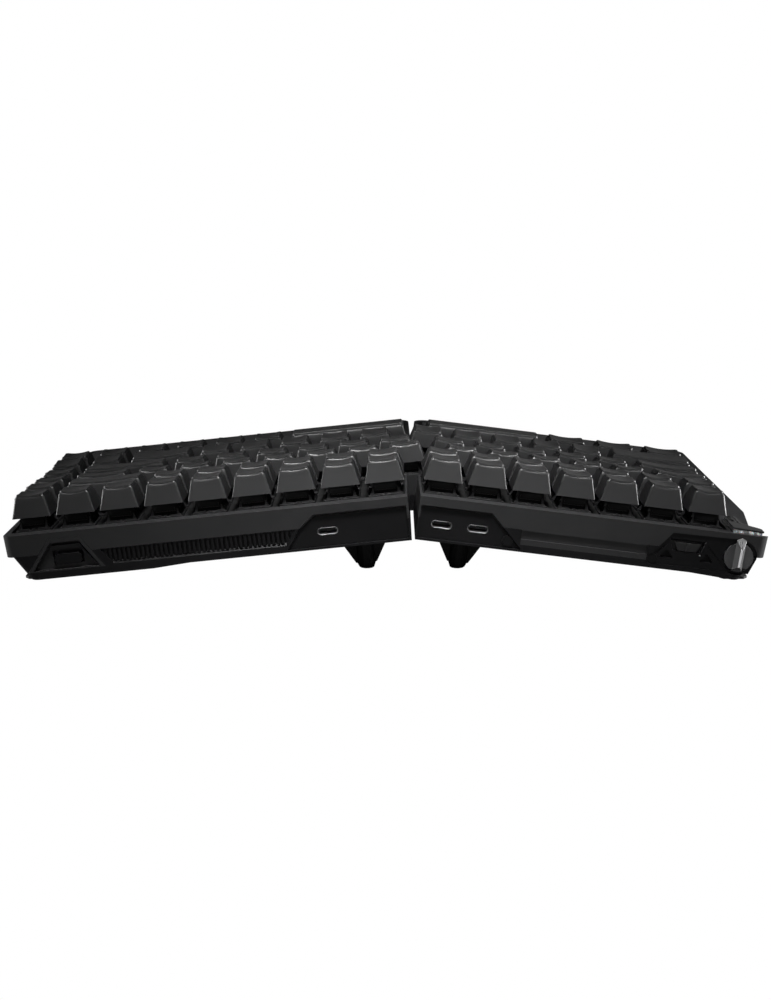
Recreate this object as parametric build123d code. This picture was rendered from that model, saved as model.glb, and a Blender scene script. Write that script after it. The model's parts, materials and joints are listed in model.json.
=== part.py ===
from build123d import *
import math
import os

# Driving dimensions, in millimetres unless the name says otherwise

# Key grid
key_pitch = 19.05
row_count = 6
right_columns = 9
left_columns = 7
key_gap = 2.1

# Attitude of each half on the desk
deck_wedge_deg = 3.5
foot_length = 16.7
foot_inset = 21.6
right_pad_reach_inset = 11.9
left_pad_reach_inset = 10.9
pad_drop = 1.9
halves_gap = 0.35

# Case, measured from the underside of the keycaps
deck_drop = 5.7
parting_height = 9.04
board_height = 11.1
rear_wall = 6.475
front_wall = 4.425
wall_inset = 0.45
inner_wall = 0.9
right_outer_wall = 2.65
left_outer_shelf = 16.95
upper_lean = 0.3
parting_step = 2.3
lower_lean = 10.0
lower_lean_height = 26.0
rear_corner_radius = 3.6
base_step = 1.0
right_step_start_inset = 78.3
right_step_end_inset = 62.4
left_step_start_inset = 31.4
left_step_end_inset = 12.6
case_depth_margin = 40.0
cut_margin = 1.0
quarter_turn_deg = 90.0

# Stepped inner edge of both halves, row by row, as a share of the key pitch
split_step_shares = (0.0, 0.0, -0.5, -0.25, 0.25, -0.1)

# Plate, board and switches, depths below the underside of the keycaps
plate_drop = 6.5
plate_thickness = 1.5
plate_fit = 0.05
plate_ledge = 1.05
board_drop = 11.5
board_thickness = 1.6
board_fit = 0.3
housing_flange = 15.6
housing_flange_height = 1.0
housing_crown_width = 11.0
housing_crown_depth = 10.4
housing_rise = 0.1
slider_width = 6.6
slider_depth = 4.6
slider_fit = 0.06
slider_sink = 1.4
key_travel = 3.5
travel_margin = 0.4
stab_width = 5.6
stab_depth = 9.6
stab_height = 4.6
stab_lean_deg = 45.0
stab_reach = 11.9
wide_stab_reach = 19.05

# Keycaps, height of the top at its rear and front edge in each row
cap_rear_heights = (10.4, 9.9, 9.3, 8.6, 8.3, 8.4)
cap_front_heights = (9.8, 9.2, 8.0, 7.8, 9.0, 8.8)
cap_top_inset = 2.45
cap_top_rear = 6.2
cap_top_front = 5.4
cap_wall = 1.3
cap_roof = 1.3
cap_roof_draft = 2.2
cap_dish = 0.9
dish_strips = 4
wide_cap_dish = 0.7
narrow_width_share = 1.9
bar_width_share = 3.0
bar_crown = 0.8
bar_end_inset = 1.7

# Tray inside the lower case
tray_floor = 1.8
tray_wall = 3.0
tray_outer_wall = 9.0
tray_rear_inset = 14.0
tray_front_inset = 4.0
rib_width = 1.6
rib_length_share = 0.86
rib_place_shares = (0.08, 0.36, 0.64, 0.92)
battery_length = 62.0
battery_width = 38.0
battery_height = 4.2
battery_offset = 42.0
battery_rear = 22.0

# Rear face, heights above the flat inner part of the base
panel_top = 16.4
panel_bottom = 1.0
panel_bevel = 1.5
panel_sink = 0.9
panel_thickness = 2.0
panel_line = 0.15
right_panel_end = 41.6
right_panel_shoulder = 48.7
right_panel_shoulder_height = 9.8
right_panel_foot = 54.6
left_panel_end = 32.2
left_panel_shoulder = 42.7
left_panel_shoulder_height = 5.35
left_panel_foot = 46.8
port_width = 8.94
port_height = 3.26
port_shell = 0.3
port_length = 7.4
port_tongue_width = 6.7
port_tongue_height = 0.7
port_tongue_length = 5.2
port_fit = 0.08
port_axis_height = 7.6
port_end_flats = 5
right_port_reach = 35.7
left_port_reaches = (10.9, 26.5)

# Grille on the rear of the right half
grille_top = 9.8
grille_bottom = 4.1
grille_ledge_bottom = 2.8
grille_start = 49.5
grille_start_lean = 4.1
grille_end_inset = 45.7
grille_end_lean = 4.9
grille_depth = 2.2
grille_back = 0.8
grille_rib_depth = 1.2
grille_pitch = 2.0
grille_rib_width = 1.1
grille_clearance = 0.04

# Receiver bay on the rear of the right half
bay_foot_outer_inset = 9.7
bay_foot_inner_inset = 41.5
bay_top_outer_inset = 19.4
bay_top_inner_inset = 33.1
bay_foot_height = 3.4
bay_top_height = 16.6
bay_rim = 1.9
bay_depth = 6.2
bay_sill = 0.6
bay_floor_depth = 4.8
bay_block_sink = 2.0
bay_block_margin = 1.3
bay_block_height = 13.0
bay_block_foot = 2.2
receiver_reach_inset = 26.7
receiver_width = 11.7
receiver_height = 4.7
receiver_base_height = 4.6
receiver_depth = 5.2
receiver_proud = 1.6
receiver_bevel = 1.1
socket_wall = 1.0
receiver_plug_width = 10.4
receiver_plug_height = 3.4
receiver_plug_length = 9.0
receiver_fit = 0.12
slot_width = 13.0
slot_height = 6.4

# Rear face of the left half
sunken_start = 44.3
sunken_end_inset = 50.1
sunken_bottom = 5.7
sunken_top = 9.6
sunken_depth = 0.8
middle_bottom = 3.25
middle_start = 45.2
middle_end_inset = 50.7
middle_thickness = 3.0
cap_near_reach = 39.7
cap_far_inset = 48.4
cap_height = 4.1
cap_radius = 2.4
cap_thickness = 2.2
cap_recess = 0.25
# Outline of the rear control plate, as places in from the half's outer edge and heights
mode_points = (
    (49.4, 5.4),
    (41.0, 16.6),
    (11.6, 17.1),
    (11.6, 9.3),
    (3.7, 9.3),
    (6.2, 2.1),
    (47.7, 2.1),
)
mode_depth = 2.4
window_bevel = 0.8
mark_insets = (42.4, 25.1)
mark_low = 5.1
mark_width = 5.5
mark_height = 3.5
mark_round = 0.5
mark_depth = 1.2
plate_lines = (
    ((47.0, 6.9), (42.7, 11.6)),
    ((25.4, 12.4), (16.8, 3.9), (15.3, 2.9)),
)
line_width = 0.35
line_depth = 0.3
mode_sink = 0.5
window_top_start_inset = 41.0
window_top_end_inset = 27.0
window_bottom_start_inset = 39.4
window_bottom_end_inset = 28.6
window_top = 13.2
window_bottom = 8.6
slide_length = 11.1
slide_foot_length = 7.9
slide_top = 12.6
slide_bottom = 8.9
slide_thickness = 1.9
slide_travel = 1.2
slide_flange = 1.0
slide_flange_thickness = 0.8
slide_ridge = 1.2
slide_ridge_proud = 0.4
slide_slack = 0.2
slide_fit = 0.05

# Rear dial
dial_reach_inset = 11.6
dial_height = 9.1
dial_radius = 6.2
dial_recess_radius = 7.9
dial_recess_depth = 4.0
dial_clearance = 0.3
dial_proud = 0.35
dial_thickness = 3.95
dial_bar_width = 4.4
dial_bar_up = 9.2
dial_bar_down = 5.8
dial_bar_proud = 3.4
dial_bar_crest = 1.2
dial_shaft_radius = 3.0
dial_shaft_fit = 0.05
encoder_width = 11.6
encoder_height = 11.2
encoder_depth = 6.0
encoder_socket = 4.4
encoder_middle = 9.1
dial_bar_root = 0.2

# Scroll wheel, side button and light strip in the scoop of the left half
scoop_inner_inset = 15.7
scoop_floor_drop = 9.0
scoop_slope_start = 34.0
scoop_slope_end = 21.0
scoop_rear = 12.9
wheel_reach_inset = 10.1
wheel_radius = 4.8
wheel_start = 15.0
wheel_end = 1.0
wheel_flutes = 16
wheel_flute_side = 0.75
wheel_flute_turn_deg = 45.0
wheel_bore = 1.5
wheel_axle_fit = 0.05
wheel_clearance = 0.5
wheel_bearing = 2.2
paddle_inner_inset = 15.4
paddle_outer_inset = 1.9
paddle_front = -1.1
paddle_rear = 12.6
paddle_top_drop = 3.5
paddle_thickness = 0.8
paddle_outer_fall = 0.5
paddle_travel = 0.7
paddle_stem_width = 6.0
paddle_stem_depth = 4.0
paddle_stem_length = 4.6
paddle_stem_fit = 0.08
paddle_stem_inset = 5.2
paddle_stem_rear = 6.8
paddle_corner = 1.4
paddle_side = 6.4
strip_inner_inset = 15.1
strip_outer_inset = 2.5
strip_rear = 12.5
strip_thickness = 1.1
strip_bottom_drop = 6.0

# Wrist rest
rest_gap = 0.05
rest_length = 74.0
rest_corner_radius = 5.0
rest_inner_radius = 10.0
rest_chamfer_width = 5.0
rest_chamfer_height = 1.4
rest_margin = 4.0
rest_pan_depth = 2.0
rest_tongue_width = 14.0
rest_tongue_height = 3.0
rest_tongue_length = 2.6
rest_tongue_low = 5.2
rest_tongue_fit = 0.05
rest_tongue_shares = (0.22, 0.78)
cushion_fit = 0.1
cushion_corner = 6.0
cushion_proud = 1.6
cushion_bevel = 2.4
cushion_rim_share = 0.4
cushion_front_band = 17.2
cushion_rear_band = 29.8

# Feet, pads and status light
foot_radius = 4.25
foot_tip = 1.6
foot_round_heights = (2.3, 0.9)
foot_round_radii = (3.7, 2.5)
foot_flats = 12
foot_wing_top = 12.6
foot_wing_tip = 4.6
foot_wing_drop = 14.4
foot_wing_thickness = 2.4
foot_rear = -6.0
foot_front_inset = 17.2
pad_length = 12.0
pad_width = 7.0
pad_thickness = 2.4
pad_sink = 0.8
pad_rear_inset = 7.4
pad_front_inset = 11.2
rest_pad_inset = 13.2
pad_corner_share = 0.25
led_radius = 0.45
led_reach_inset = 28.1
led_place_height = 7.7

# Values worked out from those above
key_base = key_pitch - key_gap
cell_half = key_pitch / 2
key_rear_edge = cell_half
key_front_edge = -(row_count - 1) * key_pitch - cell_half
right_span = right_columns * key_pitch
left_span = left_columns * key_pitch
right_outer_reach = right_span + right_outer_wall
left_outer_reach = left_span + left_outer_shelf
right_pad_reach = right_outer_reach - right_pad_reach_inset
right_step_start = right_outer_reach - right_step_start_inset
right_step_end = right_outer_reach - right_step_end_inset
grille_end = right_outer_reach - grille_end_inset
bay_foot_outer = right_outer_reach - bay_foot_outer_inset
bay_foot_inner = right_outer_reach - bay_foot_inner_inset
bay_top_outer = right_outer_reach - bay_top_outer_inset
bay_top_inner = right_outer_reach - bay_top_inner_inset
receiver_reach = right_outer_reach - receiver_reach_inset
left_pad_reach = left_outer_reach - left_pad_reach_inset
left_step_start = left_outer_reach - left_step_start_inset
left_step_end = left_outer_reach - left_step_end_inset
sunken_end = left_outer_reach - sunken_end_inset
middle_end = left_outer_reach - middle_end_inset
window_top_start = left_outer_reach - window_top_start_inset
window_top_end = left_outer_reach - window_top_end_inset
window_bottom_start = left_outer_reach - window_bottom_start_inset
window_bottom_end = left_outer_reach - window_bottom_end_inset
dial_reach = left_outer_reach - dial_reach_inset
scoop_inner = left_outer_reach - scoop_inner_inset
wheel_reach = left_outer_reach - wheel_reach_inset
paddle_inner = left_outer_reach - paddle_inner_inset
paddle_outer = left_outer_reach - paddle_outer_inset
strip_inner = left_outer_reach - strip_inner_inset
strip_outer = left_outer_reach - strip_outer_inset
led_reach = left_outer_reach - led_reach_inset
cap_reaches = (cap_near_reach, left_outer_reach - cap_far_inset)
cap_base_height = board_drop + board_thickness + board_height
parting_drop = cap_base_height - parting_height
rear_reach = key_rear_edge + rear_wall
front_reach = front_wall - key_front_edge
foot_front = foot_front_inset - front_reach
pad_rear = rear_reach - pad_rear_inset
pad_front = pad_front_inset - front_reach
rest_pad = rest_pad_inset - front_reach - rest_length
cushion_front_line = cushion_front_band - front_reach - rest_length
cushion_rear_line = -front_reach - cushion_rear_band
split_steps = [share * key_pitch for share in split_step_shares]
foot_lift = foot_length - pad_drop
foot_sections = (
    (foot_radius, 0),
    (foot_radius, -foot_length + foot_round_heights[0]),
    (foot_round_radii[0], -foot_length + foot_round_heights[1]),
    (foot_round_radii[1], -foot_length - foot_tip),
)

# Keys as places from the split line and widths, both as shares of the key pitch
left_key_shares = (
    [(-6.5 + i, 1.0) for i in range(7)],
    [(-6.5 + i, 1.0) for i in range(7)],
    [(-6.25, 1.5)] + [(-5.0 + i, 1.0) for i in range(5)],
    [(-6.125, 1.75)] + [(-4.75 + i, 1.0) for i in range(5)],
    [(-4.25 + i, 1.0) for i in range(5)],
    [(-6.375, 1.25), (-5.125, 1.25), (-3.875, 1.25)],
)
right_key_shares = (
    [(0.5 + i, 1.0) for i in range(9)],
    [(0.5 + i, 1.0) for i in range(6)] + [(8.5, 1.0)],
    [(0.0 + i, 1.0) for i in range(7)] + [(7.25, 1.5), (8.5, 1.0)],
    [(0.25 + i, 1.0) for i in range(6)] + [(8.5, 1.0)],
    [(0.75 + i, 1.0) for i in range(5)] + [(7.5, 1.0), (8.5, 1.0)],
    [(3.5 + i, 1.0) for i in range(6)],
)
# Wide keys on their own: name, row, place share, width share, stabiliser reach
left_wide_shares = (
    ("left_shift_key", 4, -5.875, 2.25, stab_reach),
    ("left_space_key", 5, -1.7, 3.1, wide_stab_reach),
)
right_wide_shares = (
    ("right_backspace_key", 1, 7.0, 2.0, stab_reach),
    ("right_enter_key", 3, 6.875, 2.25, stab_reach),
    ("right_shift_key", 4, 6.125, 1.75, 0.0),
    ("right_space_key", 5, 1.45, 3.1, wide_stab_reach),
)


# Frames: each half is drawn level, x along the rows, z from the flat inner base
def deck_place(shape):
    """From the deck's own plane, z from the keycaps' underside, to the half's level frame."""
    return Pos(0, 0, cap_base_height) * Rot(deck_wedge_deg, 0, 0) * shape


def roll_deg(side):
    reach = right_pad_reach if side > 0 else left_pad_reach
    return math.degrees(math.atan2(foot_lift, reach - foot_inset))


def desk_place(shape, side):
    """From the half's level frame to the desk, rolled about the rows so that the inner side is up."""
    reach = right_pad_reach if side > 0 else left_pad_reach
    angle = math.radians(roll_deg(side))
    lift = reach * math.sin(angle) + pad_drop * math.cos(angle)
    return Pos(side * halves_gap / 2, 0, lift) * Rot(0, side * roll_deg(side), 0) * shape


def row_place(row):
    return -row * key_pitch


def slab(x0, x1, y0, y1, z0, z1):
    """Box between two values on each axis, in any order."""
    box = Box(abs(x1 - x0), abs(y1 - y0), abs(z1 - z0))
    return Pos((x0 + x1) / 2, (y0 + y1) / 2, (z0 + z1) / 2) * box


def prism_y(points, y0, y1):
    """Outline in x and z, drawn out along y."""
    face = make_face(Polyline(*[(x, y0, z) for x, z in points], close=True))
    return extrude(face, amount=y1 - y0, dir=(0, 1, 0))


def prism_x(points, x0, x1):
    """Outline in y and z, drawn out along x."""
    face = make_face(Polyline(*[(x0, y, z) for y, z in points], close=True))
    return extrude(face, amount=x1 - x0, dir=(1, 0, 0))


def prism_z(points, z0, z1):
    """Outline in x and y, drawn out along z."""
    face = make_face(Polyline(*[(x, y, z0) for x, y in points], close=True))
    return extrude(face, amount=z1 - z0, dir=(0, 0, 1))


def polyhedron(*rings):
    """Solid through flat outlines with the same number of corners, with flat sides between them."""
    count = len(rings[0])
    faces = [Face(Wire.make_polygon(rings[0])), Face(Wire.make_polygon(rings[-1]))]
    for low, high in zip(rings, rings[1:]):
        for i in range(count):
            j = (i + 1) % count
            faces.append(Face(Wire.make_polygon([low[i], low[j], high[j], high[i]])))
    return Solid(Shell(faces)).fix()


def corners(width, depth, z, y=0):
    """Corners of a level rectangle centred on x and shifted along y."""
    half_width, half_depth = width / 2, depth / 2
    return [
        (-half_width, y - half_depth, z),
        (half_width, y - half_depth, z),
        (half_width, y + half_depth, z),
        (-half_width, y + half_depth, z),
    ]


def rod_y(x, z, radius, y0, y1):
    rod = Cylinder(radius, abs(y1 - y0))
    return Pos(x, (y0 + y1) / 2, z) * Rot(quarter_turn_deg, 0, 0) * rod


def one(shape):
    """The single solid of a shape, whatever container it came in."""
    found = shape.solids()
    return found[0] if len(found) == 1 else Compound(children=list(found))


def stepped(side, inset, outer, rear, front, z0, z1):
    """Plan of one half as a solid, its stepped inner edge moved in evenly from the split line."""
    groups = []
    for row, step in enumerate(split_steps):
        if groups and groups[-1][0] == step:
            continue
        groups.append((step, row))
    points = []
    y = rear
    for index, group in enumerate(groups):
        step = group[0]
        x = step + side * inset
        points.append((x, y))
        if index == len(groups) - 1:
            y = front
        else:
            following, row = groups[index + 1]
            widens = (following - step) * side < 0
            y = row_place(row) + cell_half + (-inset if widens else inset)
        points.append((x, y))
    points.append((side * outer, front))
    points.append((side * outer, rear))
    return prism_z(points, z0, z1)


# Case of one half
def outer_reach(side):
    return right_outer_reach if side > 0 else left_outer_reach


def upper_section(side):
    """Section of the top frame in the deck's frame, as x and z."""
    outer = outer_reach(side)
    return [
        (-side * case_depth_margin, -parting_drop),
        (side * (outer - upper_lean), -parting_drop),
        (side * outer, -deck_drop),
        (-side * case_depth_margin, -deck_drop),
    ]


def lower_section(side):
    """Section of the bottom case, which steps in under the top frame and leans inwards."""
    low = -deck_drop - lower_lean_height
    kink = outer_reach(side) - upper_lean - parting_step
    return [
        (-side * case_depth_margin, low),
        (side * (kink - lower_lean), low),
        (side * kink, -parting_drop),
        (-side * case_depth_margin, -parting_drop),
    ]


def under_base(side):
    """Room under the base, whose outer part lies a little lower than its inner part."""
    start = right_step_start if side > 0 else left_step_start
    end = right_step_end if side > 0 else left_step_end
    beyond = outer_reach(side) + case_depth_margin
    return [
        (-side * case_depth_margin, 0),
        (side * start, 0),
        (side * end, -base_step),
        (side * beyond, -base_step),
        (side * beyond, -case_depth_margin),
        (-side * case_depth_margin, -case_depth_margin),
    ]


def case_block(side, section, plan, rear, front):
    """Block with a section given in the deck's frame, cut to its plan and to the base."""
    depth = case_depth_margin
    block = deck_place(prism_y(section, front - depth, rear + depth))
    block = block & plan
    return one(block - prism_y(under_base(side), front - depth, rear + depth))


def round_corner(body, side, y, radius, is_outer=True):
    """Rounds the upright edges at the outer or inner corner that lies at the given y."""
    def corner(edge):
        box = edge.bounding_box()
        tall = box.size.Z > base_step and box.size.Z > box.size.Y * 2
        beyond = side * edge.center().X > left_outer_reach / 2
        return tall and abs(edge.center().Y - y) < base_step and beyond == is_outer
    return one(fillet([e for e in body.edges() if corner(e)], radius))


def case_halves(side):
    beyond = outer_reach(side) + case_depth_margin
    plan = stepped(side, wall_inset, beyond, rear_reach, -front_reach, -base_step, cap_base_height)
    halves = []
    for section in (upper_section(side), lower_section(side)):
        block = case_block(side, section, plan, rear_reach, -front_reach)
        halves.append(round_corner(block, side, rear_reach, rear_corner_radius))
    return halves


def key_opening(side, shrink, z0, z1):
    """Stepped opening round the keys of one half, in the deck's own frame."""
    span = right_span if side > 0 else left_span
    inner = wall_inset + inner_wall + shrink
    return stepped(side, inner, span - shrink, key_rear_edge - shrink, key_front_edge + shrink, z0, z1)


def open_deck(top, side):
    ledge_top = -plate_drop - plate_thickness
    top = top - deck_place(key_opening(side, 0, ledge_top, deck_drop))
    top = top - deck_place(key_opening(side, plate_ledge, -parting_drop - cut_margin, ledge_top))
    return top


def tray_block(side):
    outer = right_outer_reach if side > 0 else left_span
    rear = rear_reach - tray_rear_inset
    front = -front_reach + tray_front_inset
    return stepped(side, tray_wall, outer - tray_outer_wall, rear, front, tray_floor, cap_base_height)


def open_tray(bottom, side):
    """Hollows the lower case and leaves cross ribs that carry the circuit board."""
    outer = right_outer_reach if side > 0 else left_span
    bottom = bottom - tray_block(side)
    front = key_front_edge + plate_ledge + board_fit
    rear = rear_reach - tray_rear_inset
    for share in rib_place_shares:
        y = front + (rear - front) * share
        length = (outer - tray_outer_wall) * rib_length_share
        start = side * (outer - tray_outer_wall - length) / 2
        start += side * key_pitch / 2
        rib = slab(start, start + side * length, y - rib_width / 2, y + rib_width / 2,
                   tray_floor, cap_base_height)
        under = deck_place(
            slab(-right_outer_reach, right_outer_reach, -front_reach - rear_reach, rear_reach + rear_reach,
                 -board_drop - board_thickness - cap_base_height, -board_drop - board_thickness)
        )
        if side < 0:
            rib = rib - battery_block(cut_margin)
        bottom = bottom + (rib & under)
    return one(bottom)


def battery_block(grow):
    x0 = -battery_offset - battery_length - grow
    x1 = -battery_offset + grow
    y0 = -battery_rear - battery_width - grow
    y1 = -battery_rear + grow
    top = tray_floor + battery_height + (cap_base_height if grow else 0)
    return slab(x0, x1, y0, y1, tray_floor, top)


# Plate, board, switches and keys of one half
def switch_plate(side):
    return key_opening(side, plate_fit, -plate_drop - plate_thickness, -plate_drop)


def circuit_board(side):
    low = -board_drop - board_thickness
    return key_opening(side, plate_ledge + board_fit, low, -board_drop)


def switch_housing():
    """Flange on the plate, tapered crown above it and the well in which the slider moves."""
    flange_top = -plate_drop + housing_flange_height
    body = polyhedron(
        corners(housing_flange, housing_flange, -plate_drop),
        corners(housing_flange, housing_flange, flange_top),
        corners(housing_crown_width, housing_crown_depth, housing_rise),
    )
    bottom = -slider_sink - key_travel - travel_margin
    well = polyhedron(
        corners(slider_width + 2 * slider_fit, slider_depth + 2 * slider_fit, bottom),
        corners(slider_width + 2 * slider_fit, slider_depth + 2 * slider_fit, housing_rise + travel_margin),
    )
    return one(body - well)


def keycap(row, width_share):
    """Tapered hollow keycap with a dished top, or a crowned top on a space bar."""
    width = width_share * key_pitch - key_gap
    rear = cap_rear_heights[row]
    front = cap_front_heights[row]
    is_bar = width_share > bar_width_share
    inset = bar_end_inset if is_bar else cap_top_inset
    peak = max(rear, front) + bar_crown
    slope = (rear - front) / (cap_top_rear + cap_top_front)
    middle = (cap_top_rear - cap_top_front) / 2
    top_width = width - 2 * inset
    body = polyhedron(
        corners(width, key_base, 0),
        corners(top_width, cap_top_rear + cap_top_front, peak, middle),
    )
    reach = key_base
    if is_bar:
        centre_height = (rear + front) / 2
        half = (cap_top_rear + cap_top_front) / 2
        arc = ThreePointArc(
            (-width, middle - half, centre_height - bar_crown / 2),
            (-width, middle, centre_height + bar_crown / 2),
            (-width, middle + half, centre_height - bar_crown / 2),
        )
        rise = Polyline(
            (-width, middle + half, centre_height - bar_crown / 2),
            (-width, middle + half + reach, centre_height - bar_crown / 2),
            (-width, middle + half + reach, peak + reach),
            (-width, middle - half - reach, peak + reach),
            (-width, middle - half - reach, centre_height - bar_crown / 2),
            (-width, middle - half, centre_height - bar_crown / 2),
        )
        cutter = extrude(make_face([arc, rise]), amount=2 * width, dir=(1, 0, 0))
        floor_height = centre_height - bar_crown / 2
    else:
        dish = cap_dish if width_share < narrow_width_share else wide_cap_dish
        y0 = -cap_top_front - reach
        y1 = cap_top_rear + reach
        z0 = front - slope * reach
        half = top_width / 2
        radius = (half ** 2 + dish ** 2) / (2 * dish)
        spread = math.asin(half / radius)
        line = []
        for step in range(dish_strips + 1):
            angle = spread * (2 * step / dish_strips - 1)
            line.append((radius * math.sin(angle), y0, z0 - dish + radius * (1 - math.cos(angle))))
        line += [
            (half + reach, y0, z0),
            (half + reach, y0, peak + reach),
            (-half - reach, y0, peak + reach),
            (-half - reach, y0, z0),
        ]
        face = make_face(Polyline(*line, close=True))
        cutter = extrude(face, amount=(y1 - y0) * math.hypot(1, slope), dir=(0, 1, slope))
        floor_height = min(front, rear) - dish
    roof = floor_height - cap_roof
    inner_width = width - 2 * cap_wall
    inner_depth = key_base - 2 * cap_wall
    hollow = polyhedron(
        corners(inner_width, inner_depth, 0),
        corners(inner_width - 2 * cap_roof_draft, inner_depth - 2 * cap_roof_draft, roof, middle / 2),
    )
    cap = one(body - cutter - hollow)
    height = roof + slider_sink
    slider = Pos(0, 0, roof - height / 2) * Box(slider_width, slider_depth, height)
    return cap, slider


def stab_parts(reach):
    """Two stabiliser blocks beside a switch, in the deck's own frame at a key's centre."""
    floor = -plate_drop
    blocks = []
    for way in (-1, 1):
        block = Pos(way * reach, 0, floor + stab_height / 2) * Box(stab_width, stab_depth, stab_height)
        lean = Pos(way * reach, stab_depth / 2, floor + stab_height) * Rot(stab_lean_deg, 0, 0) * Box(
            stab_width * 2, stab_width / 2, stab_width / 2
        )
        blocks.append(one(block - lean))
    return blocks


def at_key(shape, place, row, side):
    moved = Pos(place * key_pitch, row_place(row), 0) * shape
    return desk_place(deck_place(moved), side)


def key_nodes(side, prefix):
    nodes = {}
    made = {}
    housing = switch_housing()
    housings = []
    stabs = []
    rows = right_key_shares if side > 0 else left_key_shares
    wide = right_wide_shares if side > 0 else left_wide_shares
    for row, keys_in_row in enumerate(rows):
        solids = []
        for place, width in keys_in_row:
            if (row, width) not in made:
                made[(row, width)] = keycap(row, width)
            solids += [at_key(piece, place, row, side) for piece in made[(row, width)]]
            housings.append(at_key(housing, place, row, side))
        nodes[f"{prefix}_keys_row{row + 1}"] = solids
    for name, row, place, width, reach in wide:
        nodes[name] = [at_key(piece, place, row, side) for piece in keycap(row, width)]
        housings.append(at_key(housing, place, row, side))
        if reach:
            stabs += [at_key(piece, place, row, side) for piece in stab_parts(reach)]
    nodes[f"{prefix}_switch_housings"] = housings
    nodes[f"{prefix}_stabilizers"] = stabs
    return nodes


# Rear face pieces
def panel_outline(side, grow):
    """Outline of the port panel as x and z, grown outwards by an even margin."""
    end = right_panel_end if side > 0 else left_panel_end
    shoulder = right_panel_shoulder if side > 0 else left_panel_shoulder
    height = right_panel_shoulder_height if side > 0 else left_panel_shoulder_height
    foot = right_panel_foot if side > 0 else left_panel_foot
    start = wall_inset + inner_wall
    return [
        (side * start, panel_bottom),
        (side * start, panel_top + grow),
        (side * (end + grow / 2), panel_top + grow),
        (side * (shoulder + grow), height),
        (side * (foot + grow), panel_bottom),
    ]


def port_panel(side):
    front = rear_reach - panel_sink - panel_thickness
    panel = prism_y(panel_outline(side, -panel_bevel - panel_line), front, rear_reach - panel_sink)
    for reach in port_reaches(side):
        panel = panel - port_profile(side * reach, port_fit, front - cut_margin, rear_reach + cut_margin)
    if side < 0:
        panel = cut_screw_caps(panel)
    return one(panel)


def port_reaches(side):
    return (right_port_reach,) if side > 0 else left_port_reaches


def port_profile(x, grow, y0, y1):
    """Slot with rounded ends, drawn with a few flats, standing on its rear face."""
    radius = port_height / 2 + grow
    straight = (port_width - port_height) / 2
    points = []
    for end, start in ((1, -quarter_turn_deg), (-1, quarter_turn_deg)):
        for step in range(port_end_flats + 1):
            angle = math.radians(start + 2 * quarter_turn_deg * step / port_end_flats)
            across = x + end * straight + radius * math.cos(angle)
            points.append((across, port_axis_height + radius * math.sin(angle)))
    return prism_y(points, y0, y1)


def ports(side):
    solids = []
    rear = rear_reach - panel_sink
    for reach in port_reaches(side):
        x = side * reach
        outside = port_profile(x, 0, rear - port_length, rear)
        inside = port_profile(x, -port_shell, rear - port_length + port_shell, rear + cut_margin)
        solids.append(one(outside - inside))
        back = rear - port_length + port_shell
        solids.append(
            slab(x - port_tongue_width / 2, x + port_tongue_width / 2, back, back + port_tongue_length,
                 port_axis_height - port_tongue_height / 2, port_axis_height + port_tongue_height / 2)
        )
    return solids


def cut_panel_recess(shape, side):
    """Bevelled recess for the port panel, with pockets for the panel and its ports."""
    wide = panel_outline(side, 0)
    narrow = panel_outline(side, -panel_bevel)
    rear = rear_reach
    inner = make_face(Polyline(*[(x, rear - panel_sink, z) for x, z in narrow], close=True))
    outer = make_face(Polyline(*[(x, rear + cut_margin, z) for x, z in wide], close=True))
    shape = shape - loft([inner, outer])
    shape = shape - prism_y(narrow, rear - panel_sink - panel_thickness, rear)
    for reach in port_reaches(side):
        shape = shape - slab(side * reach - port_width / 2, side * reach + port_width / 2,
                             rear - panel_sink - port_length, rear,
                             port_axis_height - port_height / 2, port_axis_height + port_height / 2)
    return shape


def bay_outline(grow, foot, top):
    """Trapezoid of the receiver bay, as x and z."""
    lean = (bay_foot_outer - bay_top_outer) / (bay_top_height - bay_foot_height)
    other = (bay_top_inner - bay_foot_inner) / (bay_top_height - bay_foot_height)
    return [
        (bay_foot_inner - grow + (foot - bay_foot_height) * other, foot),
        (bay_top_inner - grow + (top - bay_top_height) * other, top),
        (bay_top_outer + grow - (top - bay_top_height) * lean, top),
        (bay_foot_outer + grow - (foot - bay_foot_height) * lean, foot),
    ]


def receiver_slot(y0, y1):
    return slab(receiver_reach - slot_width / 2, receiver_reach + slot_width / 2, y0, y1,
                receiver_base_height, receiver_base_height + slot_height)


def plug_block(grow, y0, y1):
    """Block of the receiver's plug, grown evenly on its four sides."""
    middle = receiver_base_height + receiver_fit + receiver_height / 2
    width = receiver_plug_width / 2 + grow
    height = receiver_plug_height / 2 + grow
    return slab(receiver_reach - width, receiver_reach + width, y0, y1, middle - height, middle + height)


def receiver_bay():
    """Frame round the bay, its inner block and the socket that holds the receiver."""
    rear = rear_reach
    foot = bay_block_foot
    body_back = rear - receiver_depth
    plug_back = body_back - receiver_plug_length
    shell = prism_y(bay_outline(0, foot, bay_top_height), rear - bay_depth, rear)
    hollow = prism_y(
        bay_outline(-bay_rim, foot + bay_sill, bay_top_height - bay_rim),
        rear - bay_floor_depth,
        rear + cut_margin,
    )
    margin = -bay_rim - bay_block_margin
    block = prism_y(bay_outline(margin, foot, bay_block_height), rear - bay_depth, rear - bay_block_sink)
    socket = plug_block(receiver_fit + socket_wall, plug_back - socket_wall, rear - bay_depth)
    bay = shell - hollow + block + socket
    bay = bay - receiver_slot(body_back - receiver_fit, rear + cut_margin)
    return one(bay - plug_block(receiver_fit, plug_back, rear))


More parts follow.
